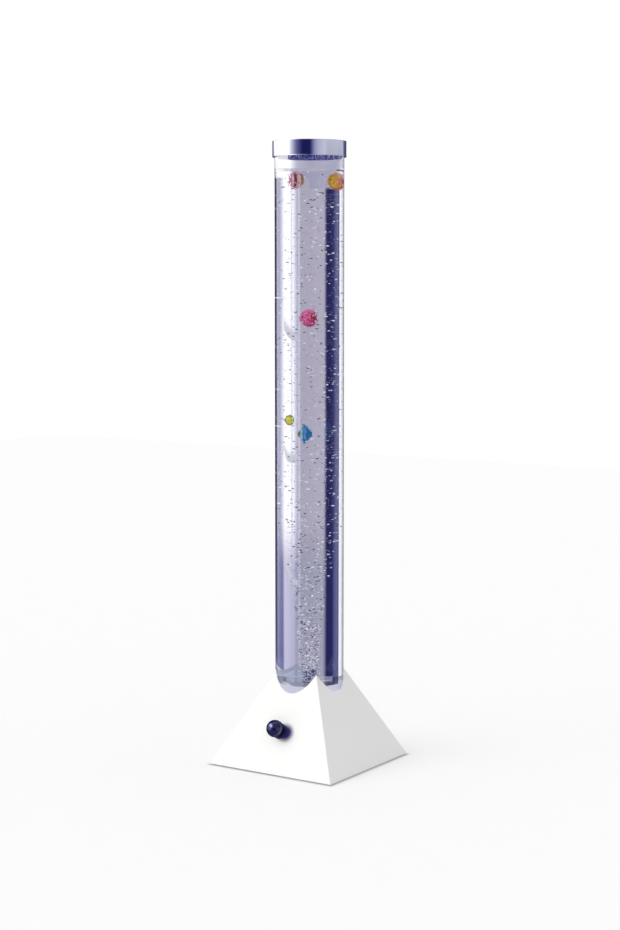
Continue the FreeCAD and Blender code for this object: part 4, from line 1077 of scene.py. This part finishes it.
# share of the length from the mouth back, share of the body's depth there
bodyLine = [(0.0, 0.0), (0.01, 0.22), (0.04, 0.44), (0.1, 0.68), (0.2, 0.89), (0.32, 1.0), (0.46, 0.99),
            (0.58, 0.88), (0.68, 0.7), (0.76, 0.5), (0.82, 0.34), (0.87, 0.25), (0.885, 0.0)]
finSets = {
    "round": [
        {"root": [(0.14, 0.2), (0.78, 0.14)], "tip": [(0.1, 0.3), (0.5, 0.5), (0.88, 0.34)], "rays": 9},
        {"root": [(0.16, -0.2), (0.78, -0.14)], "tip": [(0.14, -0.3), (0.52, -0.5), (0.88, -0.32)],
         "rays": 8},
        {"root": [(0.82, 0.1), (0.82, -0.1)], "tip": [(1.0, 0.4), (0.93, 0.0), (1.0, -0.4)], "rays": 8},
    ],
    "tall": [
        {"root": [(0.2, 0.1), (0.8, 0.05)], "tip": [(0.2, 0.16), (0.42, 0.5), (0.96, 0.08)], "rays": 7,
         "pointed": 0.8},
        {"root": [(0.2, -0.1), (0.8, -0.05)], "tip": [(0.2, -0.16), (0.42, -0.5), (0.96, -0.08)], "rays": 7,
         "pointed": 0.8},
        {"root": [(0.8, 0.06), (0.8, -0.06)], "tip": [(1.0, 0.15), (0.96, 0.0), (1.0, -0.15)], "rays": 5},
    ],
}


def alongCurve(points, share, pointed=0.0):
    # a point on the line or the parabola through two or three points; pointed draws it towards a tent
    if len(points) == 2:
        return Vector(points[0]).lerp(Vector(points[1]), share)
    first, middle, last = (Vector(point) for point in points)
    pull = middle * 2 - (first + last) / 2
    bow = first.lerp(pull, share).lerp(pull.lerp(last, share), share)
    tent = first.lerp(middle, share * 2) if share < 0.5 else middle.lerp(last, share * 2 - 1)
    return bow.lerp(tent, pointed)


def fishBody(work, share, length, depth, thick, around=24):
    rings = []
    for along, part in bodyLine:
        ring = []
        for step in range(around):
            turn = tau * step / around
            up = depth / 2 * part * math.cos(turn)
            out = thick / 2 * part ** 0.8 * math.sin(turn) * (1 - 0.15 * abs(math.cos(turn)))
            vertex = work.verts.new((along * length - length / 2, out, up))
            vertex[share] = 0.0
            ring.append(vertex)
        rings.append(ring)
    for near, far in zip(rings, rings[1:]):
        for step in range(around):
            after = (step + 1) % around
            work.faces.new((near[step], near[after], far[after], far[step]))


def fishFin(work, share, look, length, height, thick, notch):
    along, across = look["rays"] * 4, 5
    sides = []
    for side in (-1, 1):
        grid = []
        for step in range(along + 1):
            part = step / along
            root = alongCurve(look["root"], part)
            tip = alongCurve(look["tip"], part, look.get("pointed", 0.0))
            scallop = 1 - notch * abs(math.sin(math.pi * look["rays"] * part))
            ridge = 0.75 + 0.25 * math.cos(tau * look["rays"] * part)
            row = []
            for rank in range(across + 1):
                spread = rank / across
                spot = root.lerp(tip, spread * scallop)
                half = thick * (0.16 * (1 - spread) + 0.045) * ridge
                vertex = work.verts.new(((spot.x - 0.5) * length, side * half, spot.y * height))
                vertex[share] = 0.25 + 0.75 * spread
                row.append(vertex)
            grid.append(row)
        sides.append(grid)
    left, right = sides
    for step in range(along):
        for rank in range(across):
            for grid in sides:
                work.faces.new((grid[step][rank], grid[step + 1][rank], grid[step + 1][rank + 1],
                                grid[step][rank + 1]))
        for rank in (0, across):
            work.faces.new((left[step][rank], left[step + 1][rank],
                            right[step + 1][rank], right[step][rank]))
    for step in (0, along):
        for rank in range(across):
            work.faces.new((left[step][rank], left[step][rank + 1],
                            right[step][rank + 1], right[step][rank]))


def fishEyes(work, share, length, depth, thick):
    for side in (-1, 1):
        spot = Matrix.Translation(((0.17 - 0.5) * length, side * thick * 0.29, depth * 0.1))
        made = bmesh.ops.create_uvsphere(work, u_segments=16, v_segments=10, radius=length * 0.055,
                                         matrix=spot)
        for vertex in made["verts"]:
            vertex[share] = -1.0
            for face in vertex.link_faces:
                face.material_index = 1


def makeFish(name, look, paint, eyePaint):
    low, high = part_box(name)
    centre = (low + high) / 2
    height, length = high.z - low.z, look["length"]
    depth = height * look["bulge"]
    work = bmesh.new()
    share = work.verts.layers.float.new("finShare")
    skin = work.loops.layers.uv.new("skin")
    fishBody(work, share, length, depth, look["thick"])
    for fin in finSets[look["finSet"]]:
        fishFin(work, share, fin, length, height, look["thick"], look["notch"])
    fishEyes(work, share, length, depth, look["thick"])
    bmesh.ops.remove_doubles(work, verts=work.verts, dist=1e-8)
    bmesh.ops.recalc_face_normals(work, faces=work.faces)
    for face in work.faces:
        face.smooth = True
        for loop in face.loops:
            spot = loop.vert.co
            loop[skin].uv = (spot.x / length + 0.5, spot.z / height + 0.5)
    mesh = bpy.data.meshes.new(name + "Skin")
    work.to_mesh(mesh)
    work.free()
    mesh.transform(Matrix.Translation(centre) @ Matrix.Rotation(math.radians(look["heading"]), 4, "Z"))
    mesh.materials.append(paint)
    mesh.materials.append(eyePaint)
    fish = addObject(name + "Skin", mesh)
    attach(fish, look["body"])
    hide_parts(name)


def fishPaint(look):
    # bands that bow towards the mouth, fins of another colour that pale upwards in a painted highlight, pale
    # flecks, and scattered spots; the skin also gives off a painted glow
    board = startPaint(look["slot"])
    skin = board.node("ShaderNodeUVMap", {"uv_map": "skin"})
    fromMouth, upwards, aside = board.parts(skin)
    wobble = board.noise(skin, 6.0, 3.0)
    along = fromMouth + (wobble - 0.5) * 0.09 + (upwards - 0.5) ** 2.0 * look["bow"]
    fin = board.node("ShaderNodeAttribute", {"attribute_name": "finShare"}, out="Fac")
    stops = [(place, ink(*levels)) for place, *levels in look["bands"]]
    bands = board.node("ShaderNodeValToRGB", {"stops": stops}, [along])
    # painted highlight: the fins pale towards their top
    finColour = board.blend(upwards.over(0.55, 0.9), look["fins"], look["crest"])
    coloured = board.blend(fin.over(0.3, 0.9) * look["finShare"], bands, finColour)
    flecks = board.noise(skin, look["spotSize"] * 1.7, 2.0).over(0.54, 0.6)
    coloured = board.blend(flecks * look["flecked"], coloured, look["crest"])
    outwards = (along - 0.5) ** 2.0 + (upwards - 0.5) ** 2.0 + (board.noise(skin, 9.0, 2.0) - 0.5) * 0.16
    coloured = board.blend(outwards.over(0.1, 0.14) * look["edged"], coloured, look["fins"])
    spots = 1.0 - board.cells(skin, look["spotSize"]).over(0.2, 0.34)
    rarity = board.noise(skin, look["spotSize"] * 0.45, 1.0)
    scarce = rarity.over(0.62 - look["spotted"], 0.68 - look["spotted"])
    colour = board.blend(spots * scarce, coloured, look["spots"])
    scales = board.cells(skin, 26.0)
    relief = board.bump(scales, 0.35, 0.0002)
    return coat(board, Base_Color=colour, Roughness=scales * 0.15 + 0.2, Normal=relief, IOR=1.5,
                Coat_Weight=0.5, Coat_Roughness=0.08, Emission_Color=colour, Emission_Strength=fishGlow)


def fishEyePaint():
    board = startPaint("fish_eye")
    gloss = board.noise(board.place(), 900.0, 1.0)
    return coat(board, Base_Color=board.tint(gloss, ink(16, 14, 20), 0.6, 1.4),
                Roughness=gloss * 0.05 + 0.08, Coat_Weight=0.8)


eyePaint = fishEyePaint()
for fishName, fishLook in fishSet.items():
    makeFish(fishName, fishLook, fishPaint(fishLook), eyePaint)
print("fish:", len(fishSet))
